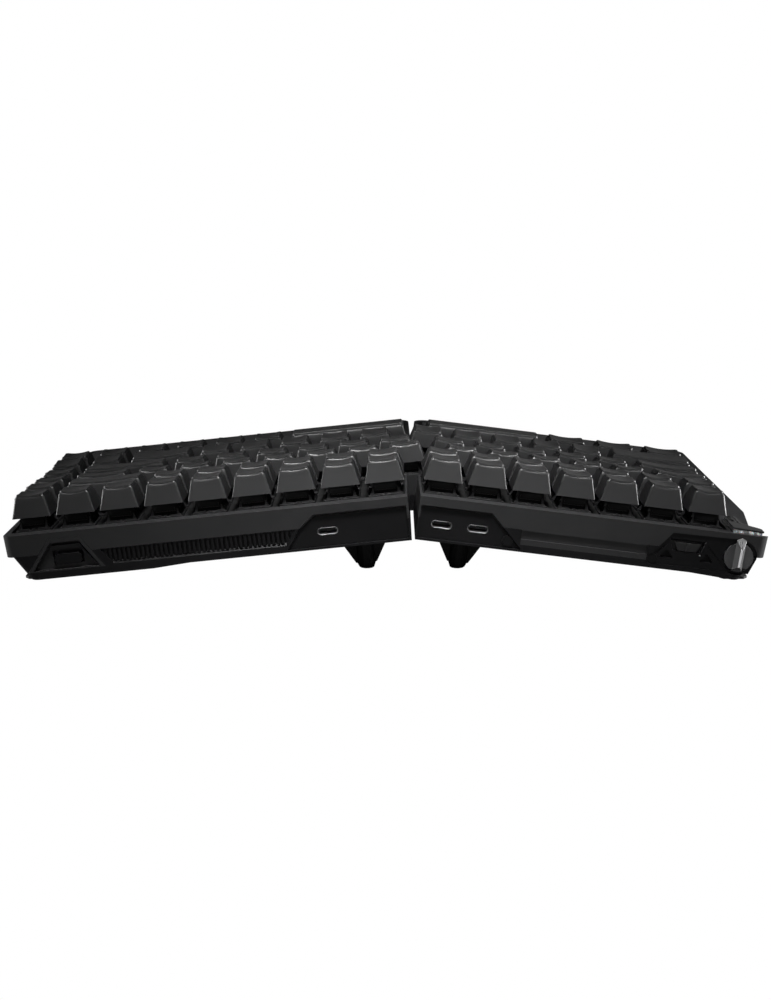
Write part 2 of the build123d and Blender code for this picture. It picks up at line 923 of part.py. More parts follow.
def bay_hold():
    """Room that the bay and its socket take out of the case."""
    rear = rear_reach
    plug_back = rear - receiver_depth - receiver_plug_length
    frame = prism_y(bay_outline(0, bay_block_foot, bay_top_height), rear - bay_depth, rear + cut_margin)
    socket = plug_block(receiver_fit + socket_wall, plug_back - socket_wall, rear - bay_depth + cut_margin)
    return [frame, socket]


def receiver():
    rear = rear_reach
    body_back = rear - receiver_depth
    low = receiver_base_height + receiver_fit
    body = slab(receiver_reach - receiver_width / 2, receiver_reach + receiver_width / 2,
                body_back, rear - bay_block_sink + receiver_proud, low, low + receiver_height)
    along = [e for e in body.edges() if e.bounding_box().size.Y > receiver_depth / 2]
    body = chamfer(along, receiver_bevel)
    plug = plug_block(0, body_back - receiver_plug_length + receiver_fit, body_back + receiver_fit)
    return one(body + plug)


def grille_points(shrink):
    return [
        (grille_start + grille_start_lean + shrink, grille_bottom + shrink),
        (grille_start + shrink, grille_top - shrink),
        (grille_end + grille_end_lean - shrink, grille_top - shrink),
        (grille_end - shrink, grille_bottom + shrink),
    ]


def rear_grille():
    back = rear_reach - grille_depth
    plate = prism_y(grille_points(grille_clearance), back, back + grille_back)
    comb = []
    count = int((grille_end + grille_end_lean - grille_start) / grille_pitch)
    for i in range(count):
        x = grille_start + grille_pitch / 2 + i * grille_pitch
        comb.append(slab(x, x + grille_rib_width, back + grille_back / 2,
                         back + grille_back + grille_rib_depth, grille_bottom, grille_top))
    limit = prism_y(grille_points(grille_clearance), back, rear_reach)
    return one(plate + [rib & limit for rib in comb])


def cut_grille(shape):
    shape = shape - prism_y(grille_points(0), rear_reach - grille_depth, rear_reach + cut_margin)
    ledge = [
        (rear_reach - grille_depth + grille_back, grille_bottom),
        (rear_reach + cut_margin, grille_ledge_bottom - cut_margin / 2),
        (rear_reach + cut_margin, grille_bottom),
    ]
    return shape - prism_x(ledge, grille_start + grille_start_lean, grille_end)


# Left half's rear controls
def mode_outline():
    return [(inset - left_outer_reach, z) for inset, z in mode_points]


def window_outline(grow):
    return [
        (-window_top_start + grow, window_top + grow),
        (-window_top_end - grow, window_top + grow),
        (-window_bottom_end - grow, window_bottom),
        (-window_bottom_start + grow, window_bottom),
    ]


def triangle_outline():
    """Triangle with cut corners, centred on x and standing on z 0."""
    half = mark_width / 2
    cut = mark_round
    return [
        (-half, cut),
        (-half + cut, 0),
        (half - cut, 0),
        (half, cut),
        (cut, mark_height),
        (-cut, mark_height),
    ]


def slide_outline():
    centre = (window_top_start + window_top_end) / 2
    return [
        (-centre - slide_length / 2, slide_top),
        (-centre + slide_length / 2, slide_top),
        (-centre + slide_foot_length / 2, slide_bottom),
        (-centre - slide_foot_length / 2, slide_bottom),
    ]


def slide_pocket_outline():
    centre = (window_top_start + window_top_end) / 2
    half = slide_length / 2 + slide_flange + slide_travel + slide_fit
    return [
        (-centre - half, slide_top + slide_flange + slide_fit),
        (-centre + half, slide_top + slide_flange + slide_fit),
        (-centre + half, slide_bottom - slide_flange - slide_fit),
        (-centre - half, slide_bottom - slide_flange - slide_fit),
    ]


def mode_plate():
    """Rear control plate with the switch window and the round seat of the dial."""
    rear = rear_reach - mode_sink
    front = rear_reach - mode_depth
    plate = prism_y(mode_outline(), front, rear)
    plate = plate - prism_y(window_outline(0), front - cut_margin, rear_reach)
    seat = rod_y(-dial_reach, dial_height, dial_radius + dial_clearance, front - cut_margin, rear_reach)
    plate = plate - seat
    led = rod_y(-led_reach, led_place_height, led_radius, front - cut_margin, rear_reach)
    plate = cut_screw_caps(plate - led)
    low = make_face(Polyline(*[(x, rear - window_bevel, z) for x, z in window_outline(0)], close=True))
    wide = window_outline(2 * window_bevel)
    high = make_face(Polyline(*[(x, rear + window_bevel, z) for x, z in wide], close=True))
    plate = plate - loft([low, high])
    for inset in mark_insets:
        x = inset - left_outer_reach
        mark = [(x + across, mark_low + up) for across, up in triangle_outline()]
        plate = plate - prism_y(mark, rear - mark_depth, rear + cut_margin)
    for line in plate_lines:
        for (x0, z0), (x1, z1) in zip(line, line[1:]):
            length = math.hypot(x1 - x0, z1 - z0)
            along = Rot(0, -math.degrees(math.atan2(z1 - z0, x1 - x0)), 0)
            groove = along * Box(length, 2 * line_depth, line_width)
            plate = plate - Pos((x0 + x1) / 2 - left_outer_reach, rear, (z0 + z1) / 2) * groove
    return one(plate)


def status_led():
    face = rear_reach - mode_sink - slide_fit * 2
    return rod_y(-led_reach, led_place_height, led_radius - slide_fit, rear_reach - mode_depth, face)


def mode_slider():
    """Tapered finger piece on a flange that runs behind the plate's window."""
    back = rear_reach - mode_depth - slide_fit
    finger = prism_y(slide_outline(), back - slide_flange_thickness / 2, back + slide_thickness)
    centre = (window_top_start + window_top_end) / 2
    flange = slab(
        -centre - slide_length / 2 - slide_flange, -centre + slide_length / 2 + slide_flange,
        back - slide_flange_thickness, back,
        slide_bottom - slide_flange, slide_top + slide_flange,
    )
    face = back + slide_thickness
    ridge = slab(-centre - slide_ridge / 2, -centre + slide_ridge / 2, face - slide_ridge / 2,
                 face + slide_ridge_proud, slide_bottom, slide_top)
    return one(finger + flange + ridge)


def dial():
    """Disc with a roof-shaped grip bar that reaches past its edge, on a bore for the shaft."""
    face = rear_reach + dial_proud
    back = face - dial_thickness
    disc = rod_y(-dial_reach, dial_height, dial_radius, back, face)
    crest = rear_reach + dial_bar_proud
    half = dial_bar_width / 2
    thin = dial_bar_crest / 2
    high = dial_height + dial_bar_up
    low = dial_height - dial_bar_down
    shoulder = high - half * 2

    def ring(width, y, bottom, top):
        return [
            (-dial_reach - width, y, bottom),
            (-dial_reach - width, y, top - width / 2),
            (-dial_reach, y, top),
            (-dial_reach + width, y, top - width / 2),
            (-dial_reach + width, y, bottom),
        ]

    bar = polyhedron(ring(half, face - dial_bar_root, low, high), ring(thin, crest, low + half, shoulder))
    end = rear_reach - dial_recess_depth - encoder_socket
    shaft = rod_y(-dial_reach, dial_height, dial_shaft_radius, end, back)
    guard = rod_y(-dial_reach, dial_height, dial_radius * 2, back, face)
    bar = bar - (guard - rod_y(-dial_reach, dial_height, dial_radius, back, face))
    return one(disc + bar + shaft)


def encoder_block():
    back = rear_reach - dial_recess_depth
    return slab(-dial_reach - encoder_width / 2, -dial_reach + encoder_width / 2, back - encoder_depth, back,
                encoder_middle - encoder_height / 2, encoder_middle + encoder_height / 2)


def dial_encoder():
    """Encoder behind the recess, with the round socket in which the dial's shaft turns."""
    back = rear_reach - dial_recess_depth
    socket = back - encoder_socket - dial_shaft_fit
    radius = dial_shaft_radius + dial_shaft_fit
    return one(encoder_block() - rod_y(-dial_reach, dial_height, radius, socket, back + cut_margin))


def dial_pocket():
    """Room for the encoder, its shaft, the disc and the grip's shadow gap."""
    floor = rear_reach - dial_recess_depth
    well = rod_y(-dial_reach, dial_height, dial_radius + dial_clearance, floor, rear_reach + cut_margin)
    shadow = rear_reach - mode_depth
    gap = rod_y(-dial_reach, dial_height, dial_recess_radius, shadow, rear_reach + cut_margin)
    return [encoder_block(), well, gap]


def screw_caps():
    caps = []
    for reach in cap_reaches:
        rear = rear_reach - cap_recess
        caps.append(rod_y(-reach, cap_height, cap_radius, rear - cap_thickness, rear))
    return caps


def cut_screw_caps(shape):
    for reach in cap_reaches:
        shape = shape - rod_y(-reach, cap_height, cap_radius, rear_reach - cap_recess - cap_thickness,
                              rear_reach + cut_margin)
    return shape


# Scoop controls of the left half, drawn in the deck's own frame
def cut_scoop(shape):
    beyond = left_outer_reach + case_depth_margin
    profile = [
        (-scoop_slope_start, -deck_drop),
        (-scoop_slope_end, -scoop_floor_drop),
        (scoop_rear, -scoop_floor_drop),
        (scoop_rear, deck_drop),
        (-scoop_slope_start, deck_drop),
    ]
    scoop = prism_x(profile, -beyond, -scoop_inner)
    shape = shape - deck_place(scoop)
    place = Pos(-wheel_reach, -(wheel_start + wheel_end) / 2, -scoop_floor_drop) * Rot(quarter_turn_deg, 0, 0)
    well = place * Cylinder(wheel_radius + wheel_clearance, wheel_start - wheel_end + 2 * wheel_clearance)
    shape = shape - deck_place(well)
    guide = paddle_stem(paddle_stem_fit)
    return shape - deck_place(guide)


def scroll_wheel():
    """Fluted barrel that turns about a line running front to back."""
    length = wheel_start - wheel_end
    barrel = Cylinder(wheel_radius, length)
    flutes = []
    for i in range(wheel_flutes):
        cutter = Box(wheel_flute_side, wheel_flute_side, length * 2)
        flute = Pos(wheel_radius, 0, 0) * Rot(0, 0, wheel_flute_turn_deg) * cutter
        flutes.append(Rot(0, 0, 4 * quarter_turn_deg * i / wheel_flutes) * flute)
    barrel = barrel - flutes - Cylinder(wheel_bore + wheel_axle_fit, length * 2)
    place = Pos(-wheel_reach, -(wheel_start + wheel_end) / 2, -scoop_floor_drop) * Rot(quarter_turn_deg, 0, 0)
    return one(place * barrel)


def wheel_axle():
    length = wheel_start - wheel_end + 2 * wheel_clearance + 2 * wheel_bearing
    place = Pos(-wheel_reach, -(wheel_start + wheel_end) / 2, -scoop_floor_drop) * Rot(quarter_turn_deg, 0, 0)
    return place * Cylinder(wheel_bore, length)


def paddle_stem(grow):
    x = -paddle_inner - paddle_stem_inset
    low = -paddle_top_drop - paddle_thickness - paddle_stem_length
    if grow:
        low -= paddle_travel + travel_margin
    return slab(
        x - paddle_stem_width / 2 - grow, x + paddle_stem_width / 2 + grow,
        paddle_stem_rear - paddle_stem_depth / 2 - grow, paddle_stem_rear + paddle_stem_depth / 2 + grow,
        low, -paddle_top_drop - paddle_thickness / 2 - paddle_outer_fall / 2,
    )


def paddle_profile():
    """Section of the paddle, as x and z: its top falls towards the outer edge."""
    top = -paddle_top_drop
    return [
        (-paddle_inner, top),
        (-paddle_inner, top - paddle_thickness),
        (-paddle_outer, top - paddle_thickness - paddle_outer_fall),
        (-paddle_outer, top - paddle_outer_fall),
    ]


def function_button():
    """Paddle with a slanted nose, on a guided stem."""
    top = -paddle_top_drop
    nose = prism_z([
        (-paddle_inner, paddle_front),
        (-paddle_outer + paddle_corner, paddle_rear - paddle_side),
        (-paddle_outer, paddle_rear - paddle_side + paddle_corner),
        (-paddle_outer, paddle_rear),
        (-paddle_inner, paddle_rear),
    ], top - paddle_outer_fall - 2 * paddle_thickness, top)
    paddle = prism_y(paddle_profile(), paddle_front, paddle_rear) & nose
    return one(paddle + paddle_stem(0))


def light_strip():
    """Light bar that hangs under the rear edge of the paddle."""
    under = -paddle_top_drop - paddle_thickness
    fall = paddle_outer_fall / (paddle_outer - paddle_inner)
    points = [
        (-strip_inner, under - fall * (strip_inner - paddle_inner)),
        (-strip_outer, under - fall * (strip_outer - paddle_inner)),
        (-strip_outer, -strip_bottom_drop),
        (-strip_inner, -strip_bottom_drop),
    ]
    return prism_y(points, strip_rear - strip_thickness, strip_rear)


# Wrist rest in front of each half
def rest_edges(side):
    """Inner and outer x, rear and front y of the wrist rest."""
    inner = split_steps[-1] + side * wall_inset
    return inner, side * outer_reach(side), -front_reach - rest_gap, -front_reach - rest_length


def rest_tongues(side, grow):
    """Two tongues that seat in the front wall of the top frame."""
    rear = rest_edges(side)[2]
    tongues = []
    for share in rest_tongue_shares:
        x = side * outer_reach(side) * share
        tongues.append(
            slab(x - rest_tongue_width / 2 - grow, x + rest_tongue_width / 2 + grow,
                 rear - (0 if grow else cut_margin), rear + rest_tongue_length + grow,
                 rest_tongue_low - grow, rest_tongue_low + rest_tongue_height + grow)
        )
    return tongues


def cushion_outline(side, inset):
    """Plan of the cushion with cut corners, moved in evenly from the pan's edge."""
    inner, outer, rear, front = rest_edges(side)
    low, high = sorted((inner, outer))
    x0 = low + rest_margin + inset
    x1 = high - rest_margin - inset
    y0 = front + rest_margin + inset
    y1 = rear - rest_margin - inset
    cut = cushion_corner
    return [
        (x0 + cut, y0),
        (x1 - cut, y0),
        (x1, y0 + cut),
        (x1, y1 - cut),
        (x1 - cut, y1),
        (x0 + cut, y1),
        (x0, y1 - cut),
        (x0, y0 + cut),
    ]


def wrist_rest(side):
    """Body of the wrist rest, flush with the deck, with a pan for its cushion."""
    inner, outer, rear, front = rest_edges(side)
    plan = slab(inner, outer + side * case_depth_margin, front, rear, -base_step, cap_base_height)
    sections = (upper_section(side), lower_section(side))
    blocks = [case_block(side, section, plan, rear, front) for section in sections]
    body = one(blocks[0] + blocks[1])
    body = round_corner(body, side, front, rest_corner_radius)
    body = round_corner(body, side, front, rest_inner_radius, False)
    far = outer + side * cut_margin
    toe = outer - side * rest_chamfer_width
    body = body - prism_y([
        (toe, -base_step),
        (far, rest_chamfer_height),
        (far, -case_depth_margin),
        (toe, -case_depth_margin),
    ], front - cut_margin, rear + cut_margin)
    pan = prism_z(cushion_outline(side, 0), -deck_drop - rest_pan_depth, deck_drop)
    return one(body - deck_place(pan) + rest_tongues(side, 0))


def rest_cushion(side):
    """Cushion that rises from the case, runs level and falls to the front, with bevelled ends."""
    inner, outer, rear, front = rest_edges(side)
    low, high = sorted((inner, outer))
    floor = -deck_drop - rest_pan_depth
    crest = cushion_proud - deck_drop
    outline = cushion_outline(side, cushion_fit)
    solid = prism_z(outline, floor, crest)
    section = [
        (front, floor),
        (front, -deck_drop),
        (front + rest_margin + cushion_fit, -deck_drop),
        (front + rest_margin + cushion_bevel, -deck_drop + cushion_proud * cushion_rim_share),
        (cushion_front_line, crest),
        (cushion_rear_line, crest),
        (rear - rest_margin - cushion_fit, -deck_drop + cushion_proud * cushion_rim_share),
        (rear, -deck_drop + cushion_proud * cushion_rim_share),
        (rear, floor),
    ]
    solid = solid & prism_x(section, low, high)
    ends = [
        (low, floor),
        (high, floor),
        (high, -deck_drop),
        (high - rest_margin - cushion_fit, -deck_drop),
        (high - rest_margin - cushion_bevel, crest),
        (low + rest_margin + cushion_bevel, crest),
        (low + rest_margin + cushion_fit, -deck_drop),
        (low, -deck_drop),
    ]
    return one(solid & prism_y(ends, front, rear))


# Feet and pads, in the half's level frame
def level_desk(block, side):
    """A shape given in the desk's frame, seen from the half's level frame."""
    reach = right_pad_reach if side > 0 else left_pad_reach
    angle = math.radians(roll_deg(side))
    lift = reach * math.sin(angle) + pad_drop * math.cos(angle)
    return Rot(0, -side * roll_deg(side), 0) * (Pos(0, 0, -lift) * block)


def foot_ring(x, y, radius, z):
    ring = []
    for step in range(foot_flats):
        angle = math.pi * (2 * step + 1) / foot_flats
        ring.append((x + radius * math.cos(angle), y + radius * math.sin(angle), z))
    return ring


def feet(side, under):
    solids = []
    for y in (foot_rear, foot_front):
        x = side * foot_inset
        pillar = polyhedron(*[foot_ring(x, y, radius, z) for radius, z in foot_sections])
        wing = prism_y([
            (x - foot_wing_top, 0),
            (x + foot_wing_top, 0),
            (x + foot_wing_tip, -foot_wing_drop),
            (x - foot_wing_tip, -foot_wing_drop),
        ], y - foot_wing_thickness / 2, y + foot_wing_thickness / 2)
        solids.append(one(pillar + wing - under))
    return solids


def pads(side, under):
    reach = side * (right_pad_reach if side > 0 else left_pad_reach)
    solids = []
    for y in (pad_rear, pad_front, rest_pad):
        pad = slab(reach - pad_length / 2, reach + pad_length / 2, y - pad_width / 2, y + pad_width / 2,
                   -base_step + pad_sink - pad_thickness, -base_step + pad_sink)
        upright = [e for e in pad.edges() if e.bounding_box().size.Z > pad_thickness / 2]
        pad = chamfer(upright, pad_width * pad_corner_share)
        solids.append(one(pad - under))
    return solids


def cut_pads(shape, side):
    reach = side * (right_pad_reach if side > 0 else left_pad_reach)
    for y in (pad_rear, pad_front, rest_pad):
        pad = slab(reach - pad_length / 2, reach + pad_length / 2, y - pad_width / 2, y + pad_width / 2,
                   -base_step * 2, -base_step + pad_sink)
        upright = [e for e in pad.edges() if e.bounding_box().size.Z > pad_sink / 2]
        shape = shape - chamfer(upright, pad_width * pad_corner_share)
    return shape


# Assembly
def build_half(side, prefix):
    nodes = {}
    under = level_desk(
        slab(-right_outer_reach - case_depth_margin, right_outer_reach + case_depth_margin,
             -front_reach - rest_length - case_depth_margin, rear_reach + case_depth_margin,
             -case_depth_margin, 0),
        side,
    )
    top, bottom = case_halves(side)
    top = open_deck(top, side)
    bottom = open_tray(bottom, side)
    level = {}
    if side > 0:
        top = cut_panel_recess(top, side)
        bottom = cut_panel_recess(bottom, side)
        top = top - bay_hold()
        bottom = bottom - bay_hold()
        bottom = cut_grille(bottom)
        level["right_receiver_bay"] = [receiver_bay()]
        level["right_receiver"] = [receiver()]
        level["right_rear_grille"] = [rear_grille()]
        level["right_usb_port"] = ports(side)
    else:
        middle = prism_y([
            (-middle_start, middle_bottom),
            (-middle_end, middle_bottom),
            (-middle_end, cap_base_height),
            (-middle_start, cap_base_height),
        ], rear_reach - middle_thickness, rear_reach + cut_margin)
        move = bottom & middle
        bottom = bottom - middle
        top = top + move
        top = cut_panel_recess(top, side)
        bottom = cut_panel_recess(bottom, side)
        sunken = slab(-sunken_start, -sunken_end, rear_reach - sunken_depth, rear_reach + cut_margin,
                      sunken_bottom, sunken_top)
        top = top - sunken
        mode_hold = prism_y(mode_outline(), rear_reach - mode_depth, rear_reach + cut_margin)
        pocket_depth = mode_depth + slide_flange_thickness + slide_slack
        pocket = prism_y(slide_pocket_outline(), rear_reach - pocket_depth, rear_reach)
        turning = dial_pocket()
        top = cut_scoop(top - mode_hold - pocket - turning)
        top = top - deck_place(wheel_axle())
        bottom = bottom - mode_hold - pocket - turning
        top = cut_screw_caps(top)
        bottom = cut_screw_caps(bottom)
        level["left_mode_plate"] = [mode_plate()]
        level["left_mode_slider"] = [mode_slider()]
        level["left_status_light"] = [status_led()]
        level["left_rear_dial"] = [dial()]
        level["left_dial_encoder"] = [dial_encoder()]
        level["left_scroll_wheel"] = [deck_place(scroll_wheel())]
        level["left_wheel_axle"] = [deck_place(wheel_axle())]
        level["left_function_button"] = [deck_place(function_button())]
        level["left_light_strip"] = [deck_place(light_strip())]
        level["left_screw_caps"] = screw_caps()
        level["left_battery"] = [battery_block(0)]
        level["left_usb_ports"] = ports(side)
    for tongue in rest_tongues(side, rest_tongue_fit):
        top = top - tongue
    bottom = cut_pads(bottom, side)
    level[f"{prefix}_wrist_rest"] = [one(cut_pads(wrist_rest(side), side))]
    level[f"{prefix}_rest_cushion"] = [deck_place(rest_cushion(side))]
    level[f"{prefix}_port_panel"] = [port_panel(side)]
    level[f"{prefix}_top_frame"] = [one(top)]
    level[f"{prefix}_bottom_case"] = [one(bottom)]
    level[f"{prefix}_switch_plate"] = [one(deck_place(switch_plate(side)))]
    level[f"{prefix}_circuit_board"] = [one(deck_place(circuit_board(side)))]
    level[f"{prefix}_tenting_feet"] = feet(side, under)
    level[f"{prefix}_base_pads"] = pads(side, under)
    for name, solids in level.items():
        nodes[name] = [desk_place(solid, side) for solid in solids]
    nodes.update(key_nodes(side, prefix))
    return nodes


os.makedirs("parts", exist_ok=True)
everything = {}
for half_side, half_prefix in ((1, "right"), (-1, "left")):
    everything.update(build_half(half_side, half_prefix))
pieces = [piece for name in everything for solid in everything[name] for piece in solid.solids()]
bounds = Compound(children=pieces).bounding_box()
shift = Pos(-bounds.center().X, -bounds.center().Y, -bounds.min.Z)
for name in sorted(everything):
    solids = [piece for solid in everything[name] for piece in (shift * solid).solids()]
    shape = solids[0] if len(solids) == 1 else Compound(children=solids)
    export_step(shape, f"parts/{name}.step")
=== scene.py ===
import json
import math
from functools import cache

import bmesh
import bpy
from mathutils import Matrix, Vector


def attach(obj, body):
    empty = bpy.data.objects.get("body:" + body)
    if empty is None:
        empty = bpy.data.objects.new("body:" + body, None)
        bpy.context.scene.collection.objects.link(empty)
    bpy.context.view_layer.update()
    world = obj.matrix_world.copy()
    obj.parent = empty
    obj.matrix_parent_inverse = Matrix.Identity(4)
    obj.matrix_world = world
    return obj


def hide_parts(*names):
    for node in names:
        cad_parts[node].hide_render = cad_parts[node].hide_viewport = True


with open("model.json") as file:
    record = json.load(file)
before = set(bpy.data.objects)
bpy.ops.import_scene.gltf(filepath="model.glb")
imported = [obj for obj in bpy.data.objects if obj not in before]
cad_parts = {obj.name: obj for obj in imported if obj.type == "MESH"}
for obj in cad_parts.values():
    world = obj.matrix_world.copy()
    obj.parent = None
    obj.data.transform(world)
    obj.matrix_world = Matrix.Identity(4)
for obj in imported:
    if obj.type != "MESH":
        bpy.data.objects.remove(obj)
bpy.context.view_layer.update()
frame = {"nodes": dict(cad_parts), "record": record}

# Looks, floor, lamps and camera of a split keyboard that is seen from the side of its sockets.
# Lengths are in millimetres and angles in degrees, unless a comment says otherwise. The frame is in metres
MM = 0.001

# Places of the two halves in the shared frame: side 1 is the right half and side -1 the left one.
# CENTRE_SHIFT puts the middle of the whole footprint at the origin
TAGS = {-1: "left", 1: "right"}
KEY_PITCH = 19.05
KEY_GAP = 2.1
DECK_WEDGE = math.radians(3.5)
CAP_BASE_HEIGHT = 24.2
FOOT_LENGTH = 16.7
PAD_DROP = 1.9
FOOT_INSET = 21.6
PAD_REACH = {1: 162.2, -1: 139.4}
HALVES_GAP = 0.35
CENTRE_SHIFT = (-11.85922, 81.9, 0.0)
REAR = 16.0
PLATE_DROP = 6.5


# Frames of the halves
def half_matrix(side):
    """Frame of a half that stands on its foot and its outer pads; Z is square to its base."""
    angle = math.atan2(FOOT_LENGTH - PAD_DROP, PAD_REACH[side] - FOOT_INSET)
    lift = PAD_REACH[side] * math.sin(angle) + PAD_DROP * math.cos(angle)
    shift = Matrix.Translation(Vector(CENTRE_SHIFT) + Vector((side * HALVES_GAP / 2, 0, lift)))
    return Matrix.Scale(MM, 4) @ shift @ Matrix.Rotation(side * angle, 4, "Y")


def deck_matrix(side):
    """Frame of the sloping deck, level with the bases of the keycaps."""
    raised = half_matrix(side) @ Matrix.Translation((0, 0, CAP_BASE_HEIGHT))
    return raised @ Matrix.Rotation(DECK_WEDGE, 4, "X")


def key_matrix(side, place, row):
    """Frame of one key; place counts key pitches from the split, row counts from the rear."""
    return deck_matrix(side) @ Matrix.Translation((place * KEY_PITCH, -row * KEY_PITCH, 0))


# Mesh helpers: a piece is a list of points and a list of faces
BEVEL_SEGMENTS = 2
BEVEL_PROFILE = 0.6
SHARP_EDGE = 30
SMOOTH_LIMIT = 35
NORMAL_WEIGHT = 100


def join(pieces):
    points, faces = [], []
    for more_points, more_faces in pieces:
        start = len(points)
        points += more_points
        faces += [[start + i for i in face] for face in more_faces]
    return points, faces


def moved(piece, matrix):
    points, faces = piece
    return [matrix @ Vector(p) for p in points], faces


def copies(piece, matrices):
    return join([moved(piece, matrix) for matrix in matrices])


def from_bmesh(mesh):
    mesh.verts.ensure_lookup_table()
    points = [tuple(v.co) for v in mesh.verts]
    faces = [[v.index for v in f.verts] for f in mesh.faces]
    mesh.free()
    return points, faces


def loft(rings):
    """Closed skin through rings that have the same number of points."""
    count = len(rings[0])
    points = [p for ring in rings for p in ring]
    faces = []
    for r in range(len(rings) - 1):
        for i in range(count):
            j = (i + 1) % count
            faces.append([r * count + i, r * count + j, (r + 1) * count + j, (r + 1) * count + i])
    faces.append(list(reversed(range(count))))
    faces.append([(len(rings) - 1) * count + i for i in range(count)])
    return points, faces


def round_edges(mesh, width, sharp, clamp):
    """Bevels the edges that turn by more than the angle sharp."""
    bmesh.ops.recalc_face_normals(mesh, faces=mesh.faces)
    edges = [e for e in mesh.edges if e.is_manifold and e.calc_face_angle(0) > math.radians(sharp)]
    bmesh.ops.bevel(
        mesh, geom=edges, offset=width, segments=BEVEL_SEGMENTS, profile=BEVEL_PROFILE, affect="EDGES",
        clamp_overlap=clamp,
    )


def bevelled(piece, width):
    mesh = bmesh.new()
    verts = [mesh.verts.new(p) for p in piece[0]]
    for face in piece[1]:
        mesh.faces.new([verts[i] for i in face])
    round_edges(mesh, width, SHARP_EDGE, False)
    return from_bmesh(mesh)


def block(x0, x1, y0, y1, z0, z1, bevel):
    """Box with rounded edges."""
    ring = [(x0, y0), (x1, y0), (x1, y1), (x0, y1)]
    return bevelled(loft([[(x, y, z) for x, y in ring] for z in (z0, z1)]), bevel)


def even_normals(obj):
    """Keeps wide faces evenly shaded up to their rounded edges."""
    even = obj.modifiers.new("even_normals", "WEIGHTED_NORMAL")
    even.mode = "FACE_AREA"
    even.weight = NORMAL_WEIGHT
    even.keep_sharp = True


def build(name, piece, material, body, smooth=SMOOTH_LIMIT, replaces=()):
    """Object made of a piece already in the shared frame."""
    mesh = bpy.data.meshes.new(name)
    mesh.from_pydata([tuple(p) for p in piece[0]], [], piece[1])
    work = bmesh.new()
    work.from_mesh(mesh)
    bmesh.ops.recalc_face_normals(work, faces=work.faces)
    limit = math.radians(smooth)
    for face in work.faces:
        face.smooth = True
    for edge in work.edges:
        edge.smooth = edge.is_manifold and edge.calc_face_angle(0) < limit
    work.to_mesh(mesh)
    work.free()
    obj = bpy.data.objects.new(name, mesh)
    bpy.context.scene.collection.objects.link(obj)
    mesh.materials.append(material)
    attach(obj, body)
    if replaces:
        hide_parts(*replaces)
    even_normals(obj)


# Node helpers
def new_material(name):
    material = bpy.data.materials.new(name)
    material.use_nodes = True
    nodes = material.node_tree.nodes
    return material, nodes, material.node_tree.links, nodes["Principled BSDF"]


def noise(nodes, links, scale, detail, stretch=None):
    """Noise in the object's metres, stretched along its axes where a stretch is given."""
    place = nodes.new("ShaderNodeTexCoord").outputs["Object"]
    texture = nodes.new("ShaderNodeTexNoise")
    texture.inputs["Scale"].default_value = scale
    texture.inputs["Detail"].default_value = detail
    if stretch:
        mapping = nodes.new("ShaderNodeMapping")
        mapping.inputs["Scale"].default_value = stretch
        links.new(place, mapping.inputs["Vector"])
        place = mapping.outputs["Vector"]
    links.new(place, texture.inputs["Vector"])
    return texture.outputs["Fac"]


def ramp(nodes, links, value, low_value, high_value, start=0.3, end=0.7, curve="LINEAR"):
    """Value that goes from the low one to the high one while the input goes from start to end."""
    node = nodes.new("ShaderNodeMapRange")
    node.interpolation_type = curve
    node.inputs["From Min"].default_value = start
    node.inputs["From Max"].default_value = end
    node.inputs["To Min"].default_value = low_value
    node.inputs["To Max"].default_value = high_value
    links.new(value, node.inputs["Value"])
    return node.outputs["Result"]


def mixed(nodes, links, kind, factor, first, second):
    """Mix of two numbers or colours, each of them fixed or the output of a node."""
    node = nodes.new("ShaderNodeMix")
    node.data_type = kind
    links.new(factor, node.inputs["Factor"])
    for key, value in (("A", first), ("B", second)):
        if isinstance(value, bpy.types.NodeSocket):
            links.new(value, node.inputs[key])
        else:
            node.inputs[key].default_value = value
    return node.outputs["Result"]


def bump(nodes, links, height, depth, strength=1.0):
    """Normal of a surface with relief of a depth in millimetres."""
    node = nodes.new("ShaderNodeBump")
    node.inputs["Distance"].default_value = depth * MM
    node.inputs["Strength"].default_value = strength
    links.new(height, node.inputs["Height"])
    return node.outputs["Normal"]


def opaque(color, share=1.0):
    return [c * share for c in color] + [1]


# Plastics and paints
CLOUD_SCALE = 55.0
CLOUD_DETAIL = 3.0
TINT_SWING = 0.12
GRAIN_SCALE = 3200.0
GRAIN_DETAIL = 2.0
GRAIN_DEPTH = 0.012
GRAIN_STRENGTH = 0.6
ROUGH_SWING = 0.05


def plastic(name, color, rough, grain=GRAIN_SCALE, depth=GRAIN_DEPTH, specular=0.5):
    """Moulded plastic: fine grain in the surface, soft cloudiness in colour, grain in gloss."""
    material, nodes, links, shader = new_material(name)
    cloud = ramp(nodes, links, noise(nodes, links, CLOUD_SCALE, CLOUD_DETAIL), 0.0, 1.0)
    fine = noise(nodes, links, grain, GRAIN_DETAIL)
    tint = mixed(nodes, links, "RGBA", cloud, opaque(color, 1 - TINT_SWING), opaque(color, 1 + TINT_SWING))
    gloss = ramp(nodes, links, fine, rough - ROUGH_SWING, rough + ROUGH_SWING)
    links.new(tint, shader.inputs["Base Color"])
    links.new(gloss, shader.inputs["Roughness"])
    links.new(bump(nodes, links, fine, depth, GRAIN_STRENGTH), shader.inputs["Normal"])
    shader.inputs["Specular IOR Level"].default_value = specular
    return material


# Level faces: the upward share of the normal between which the dull finish and the painted shade set in
LEVEL_FROM = 0.86
LEVEL_TO = 0.93


